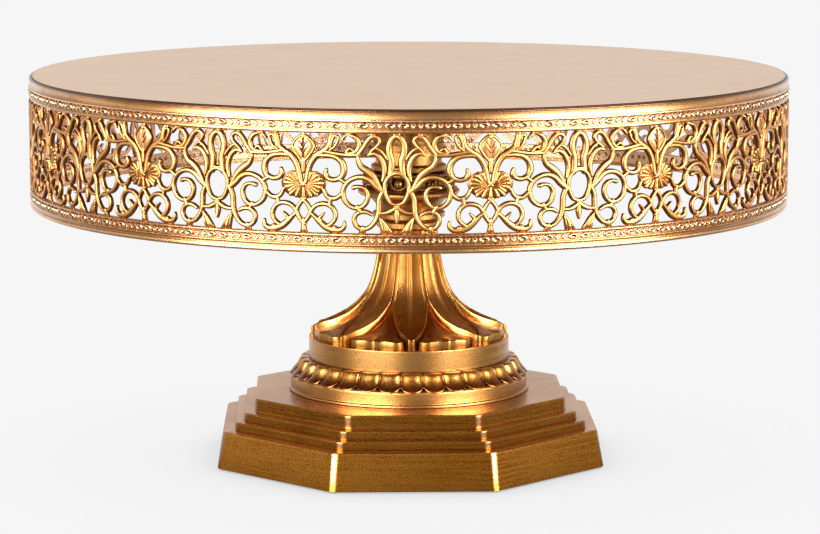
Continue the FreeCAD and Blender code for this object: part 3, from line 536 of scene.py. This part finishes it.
# The next two are darker copies of the gold, as painted shade on the capital and the boss, which sit
# under the tray.
capital_gold_in_shade = cast_metal("capital_gold_in_shade", shade(190, 142, 82), shade(144, 96, 46), shade(86, 52, 14),
                          UPRIGHT_STREAKS, 0.30, grain=0.004, patina_and_shade_depth=0.9, blotch=0.5)
boss_gold_in_shade = cast_metal("boss_gold_in_shade", shade(170, 118, 62), shade(116, 70, 24), shade(50, 24, 2),
                       (40.0, 40.0, 700.0), 0.30, grain=0.01)
steel_grey = cast_metal("steel_grey", shade(190, 190, 188), shade(150, 150, 148), shade(60, 58, 54),
                        (700.0, 700.0, 40.0), 0.28, grain=0.01)
washer_brass = cast_metal("washer_brass", shade(214, 168, 84), shade(176, 128, 52), shade(80, 48, 10),
                          (240.0, 240.0, 240.0), 0.30, grain=0.008)

# The nodes that are shown as they are in CAD, and their materials.
CAD_FINISHES = [
    (felt_cloth("felt"), ["felt_pad"]),
    (steel_grey, ["base_cover", "tie_rod", "lower_nut", "lower_washer"]),
    (washer_brass, ["joint_washer"]),
    (boss_gold_in_shade, ["tray_boss"]),
    (capital_gold_in_shade, ["neck_bead", "astragal_ring", "capital_bell", "capital_disc", "capital_torus",
                    "neck_collar"]),
]


# ---- The tray: plate, rails and pierced panels ----
def make_plate():
    """The flat plate, with painted shade darkening its edge; returns the piece, because it is lit on its
    own.
    """
    shell = Shell()
    lathe(shell, rounded([
        (0.0, TRAY_UNDER, 0.0, 0.0),
        (TRAY_RADIUS, TRAY_UNDER, 0.3, 0.3),
        (TRAY_RADIUS, TRAY_TOP - 0.45, 0.0, 1.0),
        (TRAY_RADIUS, TRAY_TOP, 0.20, 1.0),
        (TRAY_RADIUS - 0.30, TRAY_TOP, 0.0, 0.5),
        (TRAY_RADIUS - 0.60, TRAY_TOP, 0.0, 0.0),
        (0.0, TRAY_TOP, 0.0, 0.0),
    ]), 360)
    mesh = shell.mesh("plate_spun", weld=True)
    return place("plate_spun", mesh, plate_gold, "tray", ["tray_plate"])


def bead_row(shell, level):
    """Hollow-topped beads on the face of a rail, and the dents that they leave inside it."""
    for panel in range(PANEL_COUNT):
        for distance, is_long in BEADS:
            for side in (-1, 1):
                middle = (panel + 0.5) * PERIOD + side * (PERIOD / 2.0 - distance)
                spot = middle + math.radians(BAND_TURN) * BAND_RADIUS
                size, rings = (LONG_SIZE, LONG_BEAD) if is_long else (ROUND_SIZE, ROUND_BEAD)
                dome(shell, spot, level, size, BEAD_GROUND, BEAD_RISE, rings)
                dome(shell, spot, level, DENT_SIZE, RAIL_INNER + 0.05, DENT_RISE, DENT)


def turned(name, corners, steps, material, body, cad_node, bead_level=None):
    """A turned ring in place of its CAD node, from the corners of its section, with a row of beads
    where a bead level is given."""
    shell = Shell()
    lathe(shell, rounded(corners), steps)
    if bead_level is not None:
        bead_row(shell, bead_level)
    place(name, shell.mesh(name), material, body, [cad_node])


def make_upper_rail():
    """The rim: a groove with beads between two lines, and a seat for the plate's edge."""
    # Last column: patina with painted light: painted shade in the bead groove and over the lip that
    # holds the plate's edge, a painted highlight on the raised line, and a pale painted sheen on the
    # inner face.
    turned("upper_rail_beaded", [
        (RAIL_INNER, 123.40, 0.2, -0.6),
        (126.70, 123.40, 0.2, 0.5),
        (126.84, 123.80, 0.2, 0.2),
        (126.78, 124.40, 0.15, 0.25),
        (126.60, 124.60, 0.1, 0.6),
        (126.58, 126.72, 0.1, 0.7),
        (126.90, 126.86, 0.1, 0.2),
        (127.15, 127.00, 0.15, -0.5),
        (127.15, 127.40, 0.15, -0.5),
        (126.95, 127.60, 0.15, 0.45),
        (126.78, 128.60, 0.6, 0.15),
        (126.84, 129.75, 0.3, 0.35),
        (126.90, 130.00, 0.12, 1.0),
        (126.70, 130.28, 0.2, 1.0),
        (126.05, 130.28, 0.1, 1.0),
        (126.05, 128.65, 0.05, 0.8),
        (RAIL_INNER, 128.65, 0.2, -0.6),
    ], 420, rail_gold, "tray", "upper_rail", bead_level=UPPER_BEADS)


def make_lower_rail():
    """The beaded rail under the panels."""
    # Last column: patina with painted light: painted shade in the bead groove and where it meets the
    # hem, a painted highlight on the raised line, and a pale painted sheen on the inner face.
    turned("lower_rail_beaded", [
        (RAIL_INNER, HEM_TOP, 0.2, -0.6),
        (126.90, HEM_TOP, 0.1, 0.7),
        (126.86, 89.2, 0.3, 0.4),
        (126.96, 89.85, 0.2, 0.0),
        (126.60, 90.10, 0.1, 0.6),
        (126.58, 92.24, 0.1, 0.7),
        (126.85, 92.36, 0.1, 0.2),
        (127.10, 92.50, 0.15, -0.3),
        (127.10, 92.90, 0.15, 0.0),
        (126.85, 93.10, 0.1, 0.4),
        (RAIL_INNER, 93.10, 0.2, -0.6),
    ], 420, rail_gold, "tray", "lower_rail", bead_level=LOWER_BEADS)


def make_hem():
    """The rounded ring that closes the band's lower edge."""
    # Last column: a painted highlight on the lower round, and painted shade at its top where it meets
    # the rail.
    turned("hem_bead", [
        (HEM_INNER, HEM_LOW, 0.2, 0.0),
        (126.9, HEM_LOW, 0.35, -0.5),
        (127.08, 87.8, 0.4, -0.2),
        (126.94, HEM_TOP, 0.1, 0.5),
        (HEM_INNER, HEM_TOP, 0.2, 0.0),
    ], 420, rail_gold, "tray", "hem_ring")


def mirrored(points, side):
    """The points themselves for side 1, and their mirror image for side -1."""
    return [(side * point[0],) + tuple(point[1:]) for point in points]


def rib_line(start, end, thin, wide):
    """A straight line from start to end, as wide as thin at its start and as wide at its end."""
    return [(start[0] + (end[0] - start[0]) * part / 4.0,
             start[1] + (end[1] - start[1]) * part / 4.0,
             thin + (wide - thin) * part / 4.0)
            for part in range(5)]


def make_panel_mesh():
    """One pierced panel: the strokes, the leaves and the ribs on them, on both of its sides."""
    shell = Shell()
    foot = PANEL_THICKNESS
    for number, points in enumerate(STROKES.values()):
        lift = 0.012 * (number % 5)
        line = smooth_line(points)
        on_middle = max(abs(point[0]) for point in points) < 0.1
        for side in ((1,) if on_middle else (-1, 1)):
            ribbon(shell, mirrored(line, side), STROKE_SECTION, foot, foot + 0.1 - lift)
    for side in (-1, 1):
        for name, outline in LEAVES.items():
            leaf(shell, mirrored(outline, side), foot, *LEAF_FACES[name])
        for degrees in SHELL_RIBS:
            angle = math.radians(degrees)
            reach = Vector((math.cos(angle) * SHELL_REACH[0], math.sin(angle) * SHELL_REACH[1]))
            start = Vector(SHELL_CENTRE) + reach * 0.24
            end = Vector(SHELL_CENTRE) + reach * 0.78
            rib = rib_line(start, end, 0.5, 1.20 + 0.25 * abs(math.cos(angle)))
            ribbon(shell, mirrored(rib, side), RIB_SECTION, foot, foot)
        for start, end in SHELL_TAIL:
            if start[0] > 0.0 or side > 0:
                tail = rib_line(start, end, 0.7, 1.3)
                ribbon(shell, mirrored(tail, side), RIB_SECTION, foot, foot)
        for start, end in BUD_VEINS:
            if end[0] > 0.0 or side > 0:
                vein = rib_line(start, end, 0.80, 0.70)
                ribbon(shell, mirrored(vein, side), VEIN_SECTION, foot, 1.16)
        for start, end in FERN_RIBS:
            rib = rib_line(start, end, 0.6, 0.9)
            ribbon(shell, mirrored(rib, side), RIB_SECTION, foot, foot + 0.05)
        rim = smooth_line([(u, v, 0.8) for u, v in LEAVES["bud"]])
        ribbon(shell, mirrored(rim, side), RIB_SECTION, foot, foot)
    return shell.mesh("filigree_panel", 50.0)


def make_panels():
    """Equal castings round the band, each made from the same mesh."""
    first = make_panel_mesh()
    for index in range(PANEL_COUNT):
        number = f"{index + 1:02d}"
        mesh = first.copy()
        mesh.name = "filigree_" + number
        turn = math.radians(BAND_TURN + 360.0 / PANEL_COUNT * (index + 0.5))
        mesh.transform(Matrix.Rotation(turn, 4, "Z"))
        place("filigree_" + number, mesh, band_gold, "tray",
              ["filigree_panel_" + number])
    bpy.data.meshes.remove(first)


# ---- The pedestal: plinth, foot, petal stem and capital ----
def octagon(corner_radius, round_radius, arc_steps=6):
    """Points round an octagon with rounded corners, its flats facing along X and Y, and how much
    painted highlight each point takes."""
    flat = corner_radius * math.cos(math.pi / 8.0)
    places = []
    for corner in range(8):
        middle = math.pi / 8.0 + corner * math.pi / 4.0
        inner = (flat - round_radius) / math.cos(math.pi / 8.0)
        centre = Vector((math.cos(middle), math.sin(middle))) * inner
        for step in range(arc_steps + 1):
            turn = middle + math.pi / 4.0 * (step / arc_steps - 0.5)
            spot = centre + Vector((math.cos(turn), math.sin(turn))) * round_radius
            # Painted highlight, strongest at the middle of each rounded corner.
            places.append((spot, 0.25 * math.sin(math.pi * step / arc_steps)))
        first = places[-1][0]
        along = Vector((-math.sin(middle + math.pi / 8.0), math.cos(middle + math.pi / 8.0)))
        half = (flat - round_radius) * math.tan(math.pi / 8.0)
        for part in (0.01, 0.25, 0.5, 0.75, 0.99):
            places.append((first + along * 2.0 * half * part, 0.0))
    return places


def plinth_levels():
    """The plinth's outline from its underside up, over its tiers, and back through its hollow:
    corner radius, level, and patina with painted light."""
    slope = math.tan(math.radians(PLINTH_DRAFT)) / math.cos(math.pi / 8.0)
    tiers = [(PLINTH_FOOT - (FIRST_TIER - PLINTH_LOW) * slope, FIRST_TIER, 63.3), (63.3, 15.8, 60.1),
             (60.1, 18.7, 56.1), (56.1, PLINTH_TOP, None)]
    low = 0.75
    # Painted shade on the underside.
    levels = [(60.0, PLINTH_LOW, 0.8), (69.5, PLINTH_LOW, 0.6), (PLINTH_FOOT, low, 0.2)]
    for radius, top, inner in tiers:
        lowest = radius > 65.0
        start = PLINTH_FOOT if lowest else radius
        for part in (0.02, 0.25, 0.5, 0.75, 0.96):
            level = low + (top - 0.35 - low) * part
            # Painted shade: the lowest tier darkens towards the floor, and the others just above the
            # ledge below them.
            dark = 0.25 * (1.0 - part) ** 3 if lowest else 0.55 * max(0.0, 1.0 - (level - low) / 1.2)
            levels.append((start + (radius - start) * part, level, dark))
        # Each ledge has a pale painted reflection, with painted shade in the corner where it meets the
        # next tier; the hollow inside is darkened as painted shade.
        levels.extend([(radius - 0.03, top - 0.20, 0.0), (radius - 0.12, top - 0.07, 0.0),
                       (radius - 0.32, top, -0.35)])
        if inner is None:
            levels.extend([(radius - 1.0, top, -0.35), (38.0, top, -0.1), (ROD_BORE, top, 0.6)])
        else:
            levels.extend([(inner + 0.6, top, -0.3), (inner + 0.05, top, 0.8)])
        low = top
    levels.extend([(ROD_BORE, 20.2, 0.6), (52.0, 20.2, 0.8), (52.0, 10.4, 0.8), (60.0, 10.4, 0.8)])
    return levels


def make_plinth():
    """Octagonal tiers with softly rounded upright corners and a small round on each ledge."""
    levels = plinth_levels()
    points = []
    patina_and_painted_light = []
    for row, (radius, level, dark) in enumerate(levels):
        beside = levels[max(row - 1, 0)]
        upright = 1.0 if level - beside[1] > 0.5 else 0.0
        ring = octagon(radius, min(PLINTH_ROUND, radius * 0.3))
        points.extend((spot.x, spot.y, level) for spot, highlight_share in ring)
        # Painted highlight down the rounded corners of the upright faces only.
        patina_and_painted_light.extend(dark - highlight_share * upright for spot, highlight_share in ring)
    shell = Shell()
    shell.add_rings(points, patina_and_painted_light, len(points) // len(levels), closed=True)
    place("plinth_cast", shell.mesh("plinth_cast"), plinth_gold, "pedestal", ["plinth"])


def make_foot_collar():
    """The plain ring on the plinth."""
    # Last column: painted shade at its foot, in the crease above its lower lip, and at its top under the
    # lobes.
    turned("foot_collar_turned", [
        (SPIGOT_BORE, PLINTH_TOP, 0.0, 0.6),
        (40.7, PLINTH_TOP, 0.25, 0.6),
        (40.7, 24.0, 0.3, 0.1),
        (40.15, 24.3, 0.2, 0.35),
        (40.05, 28.3, 0.6, 0.0),
        (39.2, COLLAR_TOP, 0.3, 0.3),
        (SPIGOT_BORE, COLLAR_TOP, 0.0, 0.6),
    ], 240, drum_gold, "pedestal", "foot_collar")


def make_gadroon():
    """A ring of hollow-backed lobes with thin fillets between them; their rounded ends hang over
    the foot collar."""
    lobe = 2.0 * math.pi / LOBE_COUNT

    def swell(radius, level, dark, turn):
        """Shapes a point; across runs from 0 on a lobe's middle to 1 in the notch beside it."""
        across = abs((turn / lobe + 0.5) % 1.0 * 2.0 - 1.0)
        if radius < 35.0:
            return radius, level, dark
        body = math.sqrt(1.0 - min(across, 0.94) ** 2.2)
        fillet = ease(0.93, 0.98, across)
        depth = LOBE_DEPTH * (1.0 - body) - 0.20 * fillet
        lift = ease(30.4, 28.0, level)
        end = 1.0 - math.sqrt(1.0 - min(across, 0.96) ** 2)
        # Painted shade darkens each lobe's sides towards the notches.
        side = ease(0.60, 0.90, across) * (1.0 - fillet)
        return radius - depth, level + LOBE_LIFT * lift * end, max(dark, 0.75 * side)

    # Section: radius, level, and patina with painted light: painted shade on the hanging ends, and a
    # painted highlight near the top.
    section = [(SPIGOT_BORE, 28.95, 0.8), (38.0, 28.95, 1.0), (38.3, 28.3, 1.0), (39.1, 28.04, 1.0),
               (40.1, 28.02, 0.9), (40.45, 28.06, 0.5), (LOBE_RADIUS, 28.16, 0.5), (40.4, 28.5, 0.9),
               (40.05, 29.0, 1.0), (39.6, 29.5, 0.95), (39.1, 30.1, 0.8), (38.6, 30.75, 0.55),
               (38.15, 31.4, 0.25), (37.8, 32.0, 0.0), (37.5, 32.6, -0.1), (37.2, 33.2, -0.2),
               (36.85, 33.7, -0.2), (36.4, 33.95, 0.0), (35.6, LOBE_TOP, 0.3), (34.6, LOBE_TOP, 0.8),
               (SPIGOT_BORE, LOBE_TOP, 0.9)]
    shell = Shell()
    lathe(shell, section, LOBE_COUNT * 24, swell)
    place("gadroon_lobes", shell.mesh("gadroon_lobes", 70.0), gadroon_gold, "pedestal",
          ["gadroon_ring"])


def make_drum():
    """The brushed drum above the lobes, with its spigot down through both rings."""
    # Last column: painted shade at its foot above the lobes, and on its top under the petals.
    turned("drum_turned", [
        (SPIGOT_INNER, PLINTH_TOP, 0.0, 0.6),
        (SPIGOT_RADIUS, PLINTH_TOP, 0.0, 0.6),
        (SPIGOT_RADIUS, LOBE_TOP, 0.0, 0.8),
        (DRUM_RADIUS, LOBE_TOP, 0.1, 0.9),
        (DRUM_RADIUS, 34.7, 0.2, 0.2),
        (DRUM_RADIUS, DRUM_TOP, 0.35, 0.0),
        (30.5, DRUM_TOP, 0.2, 0.9),
        (ROD_BORE, DRUM_TOP, 0.0, 0.9),
        (ROD_BORE, DRUM_TOP - 3.0, 0.0, 0.8),
        (SPIGOT_INNER, DRUM_TOP - 3.0, 0.0, 0.8),
    ], 240, drum_gold, "pedestal", "drum")


def between(table, at):
    """The value at a place in a table of (place, value), straight between its rows."""
    if at <= table[0][0]:
        return table[0][1]
    for (low, first), (high, last) in zip(table, table[1:]):
        if at <= high:
            return first + (last - first) * (at - low) / (high - low)
    return table[-1][1]


def around_middle(half):
    """Places from -1 to 1, given from -1 to just before 0."""
    return half + [0.0] + [-spot for spot in reversed(half)]


def running_lengths(line):
    """The length of the line up to each of its points."""
    lengths = [0.0]
    for before, after in zip(line, line[1:]):
        lengths.append(lengths[-1] + math.dist(before, after))
    return lengths


# The stem's flare from its top, as radius and level; half the width of a tongue at a radius; and
# the places across a tongue and a petal, from one edge (-1) to the other (1).
STEM_LINE = smooth_line([(10.1, STEM_TOP), (10.35, 75.0), (10.75, 71.5), (11.35, 68.2), (11.9, 65.4),
                         (12.7, 62.2), (13.7, 59.3), (15.1, 56.5), (17.1, 53.8), (19.3, 51.4),
                         (21.4, 49.7), (23.8, 48.3), (26.1, 47.2), (28.7, 46.2), (31.0, 45.2),
                         (STEM_END, 44.3)], 6)
STEM_LENGTHS = running_lengths(STEM_LINE)
TONGUE_HALF = [(10.0, 6.5), (19.0, 5.75), (22.0, 5.4), (24.0, 4.8), (26.5, 4.0), (28.7, 3.0),
               (30.5, 1.9), (31.6, 1.1), (33.2, 0.35)]
TONGUE_PLACES = around_middle([-1.0, -0.975, -0.945, -0.91, -0.87, -0.80, -0.66, -0.50, -0.34, -0.20,
                               -0.13, -0.09, -0.045])
PETAL_PLACES = around_middle([-1.0, -0.90, -0.86, -0.70, -0.50, -0.30, -0.12, -0.04])
PETAL_HALF = math.pi / PETAL_COUNT
STEM_ROWS = 60


def station(radius_end, part):
    """Radius, level and outward normal at a part of the way from the stem's top to a radius."""
    radii = [spot[0] for spot in STEM_LINE]
    want = between(list(zip(radii, STEM_LENGTHS)), radius_end) * part
    index = next(index for index, length in enumerate(STEM_LENGTHS[1:]) if want <= length + 1e-9)
    share = (want - STEM_LENGTHS[index]) / (STEM_LENGTHS[index + 1] - STEM_LENGTHS[index])
    above, below = STEM_LINE[index:index + 2]
    run = Vector((below[0] - above[0], below[1] - above[1])).normalized()
    return (above[0] + (below[0] - above[0]) * share, above[1] + (below[1] - above[1]) * share,
            Vector((-run.y, run.x)))


def tongue_edge(radius):
    """Half the angle that a tongue takes up at a radius."""
    half = min(between(TONGUE_HALF, radius), radius * math.sin(PETAL_HALF * 0.965))
    return math.asin(half / radius)


def tongue_column(middle, across):
    """Radius, level, turn, and patina with painted shade down a tongue: a channel with a middle rib,
    between rims.
    """
    side = abs(across)
    end = STEM_END - 1.3 * side ** 0.7
    column = []
    for row in range(STEM_ROWS + 1):
        part = row / STEM_ROWS
        radius, level, normal = station(end, part)
        inside = ease(0.955, 0.88, side)
        channel = 0.92 + 0.22 * (1.0 - (side / 0.87) ** 2) if side < 0.87 else 0.92
        rib = ease(0.12, 0.03, side) * (1.0 - ease(0.45, 0.80, part))
        rim = 0.12 * ease(0.975, 1.0, side)
        fade = 1.0 - ease(30.6, 32.2, radius)
        spot = Vector((radius, level)) - normal * ((channel - 0.75 * rib) * inside * fade + rim)
        turn = middle + tongue_edge(radius) * across
        # Painted shade down the channel, less on the middle rib.
        column.append((spot.x, spot.y, turn, inside * fade * (0.26 - 0.26 * rib)))
    last = column[-1]
    # Painted shade down the tip's upright edge to the underside.
    column.append((last[0] + 0.05, last[1] - 0.25, last[2], 0.0))
    column.append((last[0] + 0.05, TIP_LOW, last[2], 0.5))
    column.append((last[0], STEM_UNDER, last[2], 1.0))
    return column


def petal_column(middle, across):
    """Radius, level, turn, and patina with painted shade down a petal between two tongues: hollow above,
    and crowned with a middle ridge at its tip.  Beside the tip a slot goes down to the drum."""
    side = abs(across)
    end = 33.10 - 0.9 * ease(0.0, 0.30, side) + 0.45 * ease(0.30, 0.62, side)
    end -= 1.6 * ease(0.72, 0.92, side)
    column = []
    for row in range(STEM_ROWS + 1):
        radius, level, normal = station(end, row / STEM_ROWS)
        turn = middle + PETAL_HALF + (PETAL_HALF - tongue_edge(radius)) * across
        open_room = ease(14.5, 20.0, radius)
        hollow = 0.5 + 1.5 * open_room * (1.0 - 0.50 * ease(27.0, 32.5, radius))
        ridge = 0.55 * math.exp(-(across / 0.07) ** 2) * ease(29.0, 32.5, radius)
        hump = 0.5 * (1.0 - side ** 2) * open_room
        slot = ease(0.86, 0.90, side) * ease(23.0, 28.0, radius)
        spot = Vector((radius, level)) - normal * (hollow - ridge - hump)
        height = spot.y + (41.25 - spot.y) * slot
        # Painted shade: darker deep in the hollow under the tongues, towards the sides, and all down the
        # slot.
        dark = 0.85 * (1.0 - ease(24.0, 31.0, radius)) + 0.35 * side ** 2
        column.append((spot.x, height, turn, min(1.0, max(dark, slot))))
    last = column[-1]
    # Painted shade down the tip's edge to the underside.
    column.append((last[0] + 0.05, max(41.24, last[1] - 0.3), last[2], 0.05))
    column.append((last[0] + 0.05, max(41.23, min(last[1] - 0.5, TIP_LOW)), last[2], 0.4))
    column.append((last[0], STEM_UNDER, last[2], 1.0))
    return column


def make_stem():
    """Eight channelled tongue petals with raised rims, and eight ogee petals between their tips."""
    columns = []
    for petal in range(PETAL_COUNT):
        middle = -math.pi / 2.0 + petal * 2.0 * PETAL_HALF
        columns.extend(tongue_column(middle, across) for across in TONGUE_PLACES)
        columns.extend(petal_column(middle, across) for across in PETAL_PLACES)
    points = []
    patina_and_painted_light = []
    for column in columns:
        turn = column[0][2]
        full = [(ROD_BORE, STEM_TOP, turn, 0.5)] + column + [(ROD_BORE, STEM_UNDER, turn, 0.5)]
        for radius, level, turn, dark in full:
            points.append((radius * math.cos(turn), radius * math.sin(turn), level))
            patina_and_painted_light.append(dark)
    shell = Shell()
    shell.add_rings(points, patina_and_painted_light, len(points) // len(columns), closed=True)
    place("stem_petals", shell.mesh("stem_petals", 55.0), stem_gold, "pedestal",
          ["petal_stem"])


def make_eggs():
    """The capital's moulding: eggs, each in a raised horseshoe, with darts between them."""
    shell = Shell()
    # Last column: painted shade in the hollow behind the eggs.
    lathe(shell, rounded([
        (ROD_BORE, EGG_LOW, 0.0, 0.8),
        (14.9, EGG_LOW, 0.2, 0.6),
        (14.3, 92.6, 0.3, 0.9),
        (13.9, 95.2, 0.5, 1.0),
        (15.2, 96.5, 0.3, 0.2),
        (15.2, EGG_TOP, 0.2, 0.1),
        (ROD_BORE, EGG_TOP, 0.0, 0.8),
    ]), 192)
    for egg in range(EGG_COUNT):
        middle = math.radians(15.0 + 360.0 / EGG_COUNT * egg)
        add_egg(shell, middle, 14.2, 94.3, 1.7, 2.1, 2.1)
        for step in range(13):
            angle = math.radians(160.0 + 220.0 * step / 12.0)
            across = math.cos(angle) * 2.75
            up = math.sin(angle) * 2.4
            add_egg(shell, middle + across / 15.2, 15.0, 94.8 + up, 0.6, 0.6, 0.7)
        add_egg(shell, middle + math.radians(15.0), 14.9, 93.6, 0.5, 1.5, 0.9)
    place("egg_and_dart", shell.mesh("egg_and_dart"), capital_gold_in_shade, "pedestal",
          ["egg_ring"])


def add_egg(shell, turn, radius, level, half_wide, half_high, half_deep):
    """A rounded stud that points away from the axis."""
    rings = 8
    around = 12
    points = []
    patina_and_painted_light = []
    out = Vector((math.cos(turn), math.sin(turn), 0.0))
    across = Vector((-math.sin(turn), math.cos(turn), 0.0))
    centre = out * radius + Vector((0.0, 0.0, level))
    for ring in range(rings + 1):
        tilt = math.pi * ring / rings
        for step in range(around):
            angle = 2.0 * math.pi * step / around
            reach = math.sin(tilt) if 0 < ring < rings else 0.02
            spot = (centre + out * half_deep * math.cos(tilt)
                    + across * half_wide * reach * math.cos(angle)
                    + Vector((0.0, 0.0, half_high * reach * math.sin(angle))))
            points.append(tuple(spot))
            # Painted shade: each stud darkens towards its back, where it meets the ring.
            patina_and_painted_light.append(0.9 * ease(0.15, 0.50, ring / rings))
    shell.add_rings(points, patina_and_painted_light, around)


def finish_cad_nodes():
    """Gives the nodes that are shown as they are in CAD their materials."""
    for material, names in CAD_FINISHES:
        for name in names:
            thing = bpy.data.objects[name]
            if not thing.material_slots:
                thing.data.materials.append(material)
            for slot in thing.material_slots:
                slot.material = material


# ---- Stage, light and camera ----
# Brightness in front of the object, on the floor there, and behind the object.
DARK_SIDE = 0.12
FLOOR_FRONT = 0.24
BRIGHT_SIDE = 1.20
LIGHT_AIM = Vector((0.0, 0.0, 0.08))
CAMERA_LENS = 145.41
CAMERA_SHIFT = (0.0015, 0.0170)
CAMERA_TURN = -1.556
CAMERA_DIP = 8.736
CAMERA_PLACE = Vector((0.0, -1.1104, 0.2302))


def unless_seen(tree, given, seen):
    """One shader for what the camera sees, and another for the light that is given."""
    path = node(tree, "ShaderNodeLightPath")
    mix = node(tree, "ShaderNodeMixShader", {"Fac": path.outputs["Is Camera Ray"], 1: given, 2: seen})
    return mix.outputs["Shader"]


def pale_paper(name):
    """Pale studio paper, evenly lit as seen, with a soft contact shadow; it gives little light
    back to the object, as paper that falls off into the dark in front of it would."""
    material, tree = empty_material(name)
    spot = node(tree, "ShaderNodeTexCoord").outputs["Object"]
    tooth = noise(tree, spot, 400.0, 2.0)
    tint = blend(tree, tooth, (0.915, 0.915, 0.915, 1.0), (0.925, 0.925, 0.925, 1.0))
    contact = node(tree, "ShaderNodeAmbientOcclusion", {"Distance": 0.10, "Color": tint}, samples=8)
    seen = node(tree, "ShaderNodeEmission", {"Color": blend(tree, 0.45, tint, contact.outputs["Color"])})
    parts = node(tree, "ShaderNodeSeparateXYZ", {"Vector": spot})
    fall = spread(tree, parts.outputs["Y"], -0.10, 0.35, FLOOR_FRONT, BRIGHT_SIDE,
                  interpolation_type="SMOOTHSTEP")
    given = node(tree, "ShaderNodeEmission", {"Strength": fall})
    surface = unless_seen(tree, given.outputs["Emission"], seen.outputs["Emission"])
    node(tree, "ShaderNodeOutputMaterial", {"Surface": surface})
    return material


def make_stage():
    """The round floor."""
    mesh = bpy.data.meshes.new("studio_floor")
    work = bmesh.new()
    bmesh.ops.create_circle(work, cap_ends=True, segments=96, radius=6.0)
    work.to_mesh(mesh)
    work.free()
    mesh.materials.append(pale_paper("pale_paper"))
    floor = bpy.data.objects.new("studio_floor", mesh)
    bpy.context.collection.objects.link(floor)


def softbox(name, azimuth, height, distance, width, tall, watts):
    """A rectangular light that faces the object; azimuth is measured from the front, positive to
    the right."""
    light = bpy.data.lights.new(name, "AREA")
    light.shape = "RECTANGLE"
    light.size = width
    light.size_y = tall
    light.energy = watts
    lamp = bpy.data.objects.new(name, light)
    bpy.context.collection.objects.link(lamp)
    turn = math.radians(azimuth)
    lamp.location = (distance * math.sin(turn), -distance * math.cos(turn), height)
    lamp.rotation_euler = (LIGHT_AIM - lamp.location).to_track_quat("-Z", "Y").to_euler()
    lamp.visible_camera = False
    return lamp


def make_world():
    """A studio that is bright behind and above the object and dark in front of it."""
    world = bpy.data.worlds.new("studio")
    bpy.context.scene.world = world
    world.use_nodes = True
    tree = world.node_tree
    tree.nodes.clear()
    seen = node(tree, "ShaderNodeBackground", {"Color": (0.92, 0.92, 0.92, 1.0)})
    way = node(tree, "ShaderNodeTexCoord")
    parts = node(tree, "ShaderNodeSeparateXYZ", {"Vector": way.outputs["Generated"]})
    behind = spread(tree, parts.outputs["Y"], -0.02, 1.15, DARK_SIDE, BRIGHT_SIDE,
                    interpolation_type="SMOOTHSTEP")
    given = node(tree, "ShaderNodeBackground", {"Strength": behind})
    surface = unless_seen(tree, given.outputs["Background"], seen.outputs["Background"])
    node(tree, "ShaderNodeOutputWorld", {"Surface": surface})


def make_camera():
    """A long lens, nearly in front and a little above the tray."""
    data = bpy.data.cameras.new("camera")
    data.lens = CAMERA_LENS
    data.sensor_width = 36.0
    data.shift_x, data.shift_y = CAMERA_SHIFT
    data.clip_start = 0.05
    camera = bpy.data.objects.new("camera", data)
    bpy.context.collection.objects.link(camera)
    turn = math.radians(CAMERA_TURN)
    camera.location = Matrix.Rotation(turn, 3, "Z") @ CAMERA_PLACE
    camera.rotation_euler = (math.radians(90.0 - CAMERA_DIP), 0.0, turn)
    bpy.context.scene.camera = camera


def light_only(lamps, thing, name, state):
    """Limits what the lamps light: the thing alone for INCLUDE, everything else for EXCLUDE."""
    group = bpy.data.collections.new(name)
    group.objects.link(thing)
    group.collection_objects[0].light_linking.link_state = state
    for lamp in lamps:
        lamp.light_linking.receiver_collection = group


def light_studio(plate):
    """Two large softboxes in front and two weak fills.  The flat plate would mirror the softboxes
    as a white disc when it is seen from behind, so it has one wide, dim light of its own instead."""
    softboxes = [
        softbox("softbox_left", -40.0, 0.34, 1.0, 0.95, 0.66, 33.0),
        softbox("softbox_right", 51.0, 0.34, 1.0, 0.80, 0.66, 29.0),
    ]
    softbox("fill_left", -94.0, 0.30, 0.90, 0.50, 0.55, 0.7)
    softbox("fill_right", 96.0, 0.30, 0.90, 0.50, 0.55, 0.45)
    light_only(softboxes, plate, "unlit_by_softboxes", "EXCLUDE")
    plate_light = softbox("plate_light", 5.0, 0.34, 0.95, 3.0, 0.80, 5.0)
    light_only([plate_light], plate, "lit_by_plate_light", "INCLUDE")
    bpy.context.scene.view_settings.view_transform = "Standard"


plate = make_plate()
make_upper_rail()
make_lower_rail()
make_hem()
make_panels()
make_plinth()
make_foot_collar()
make_gadroon()
make_drum()
make_stem()
make_eggs()
finish_cad_nodes()
make_stage()
make_world()
light_studio(plate)
make_camera()

bpy.context.view_layer.update()
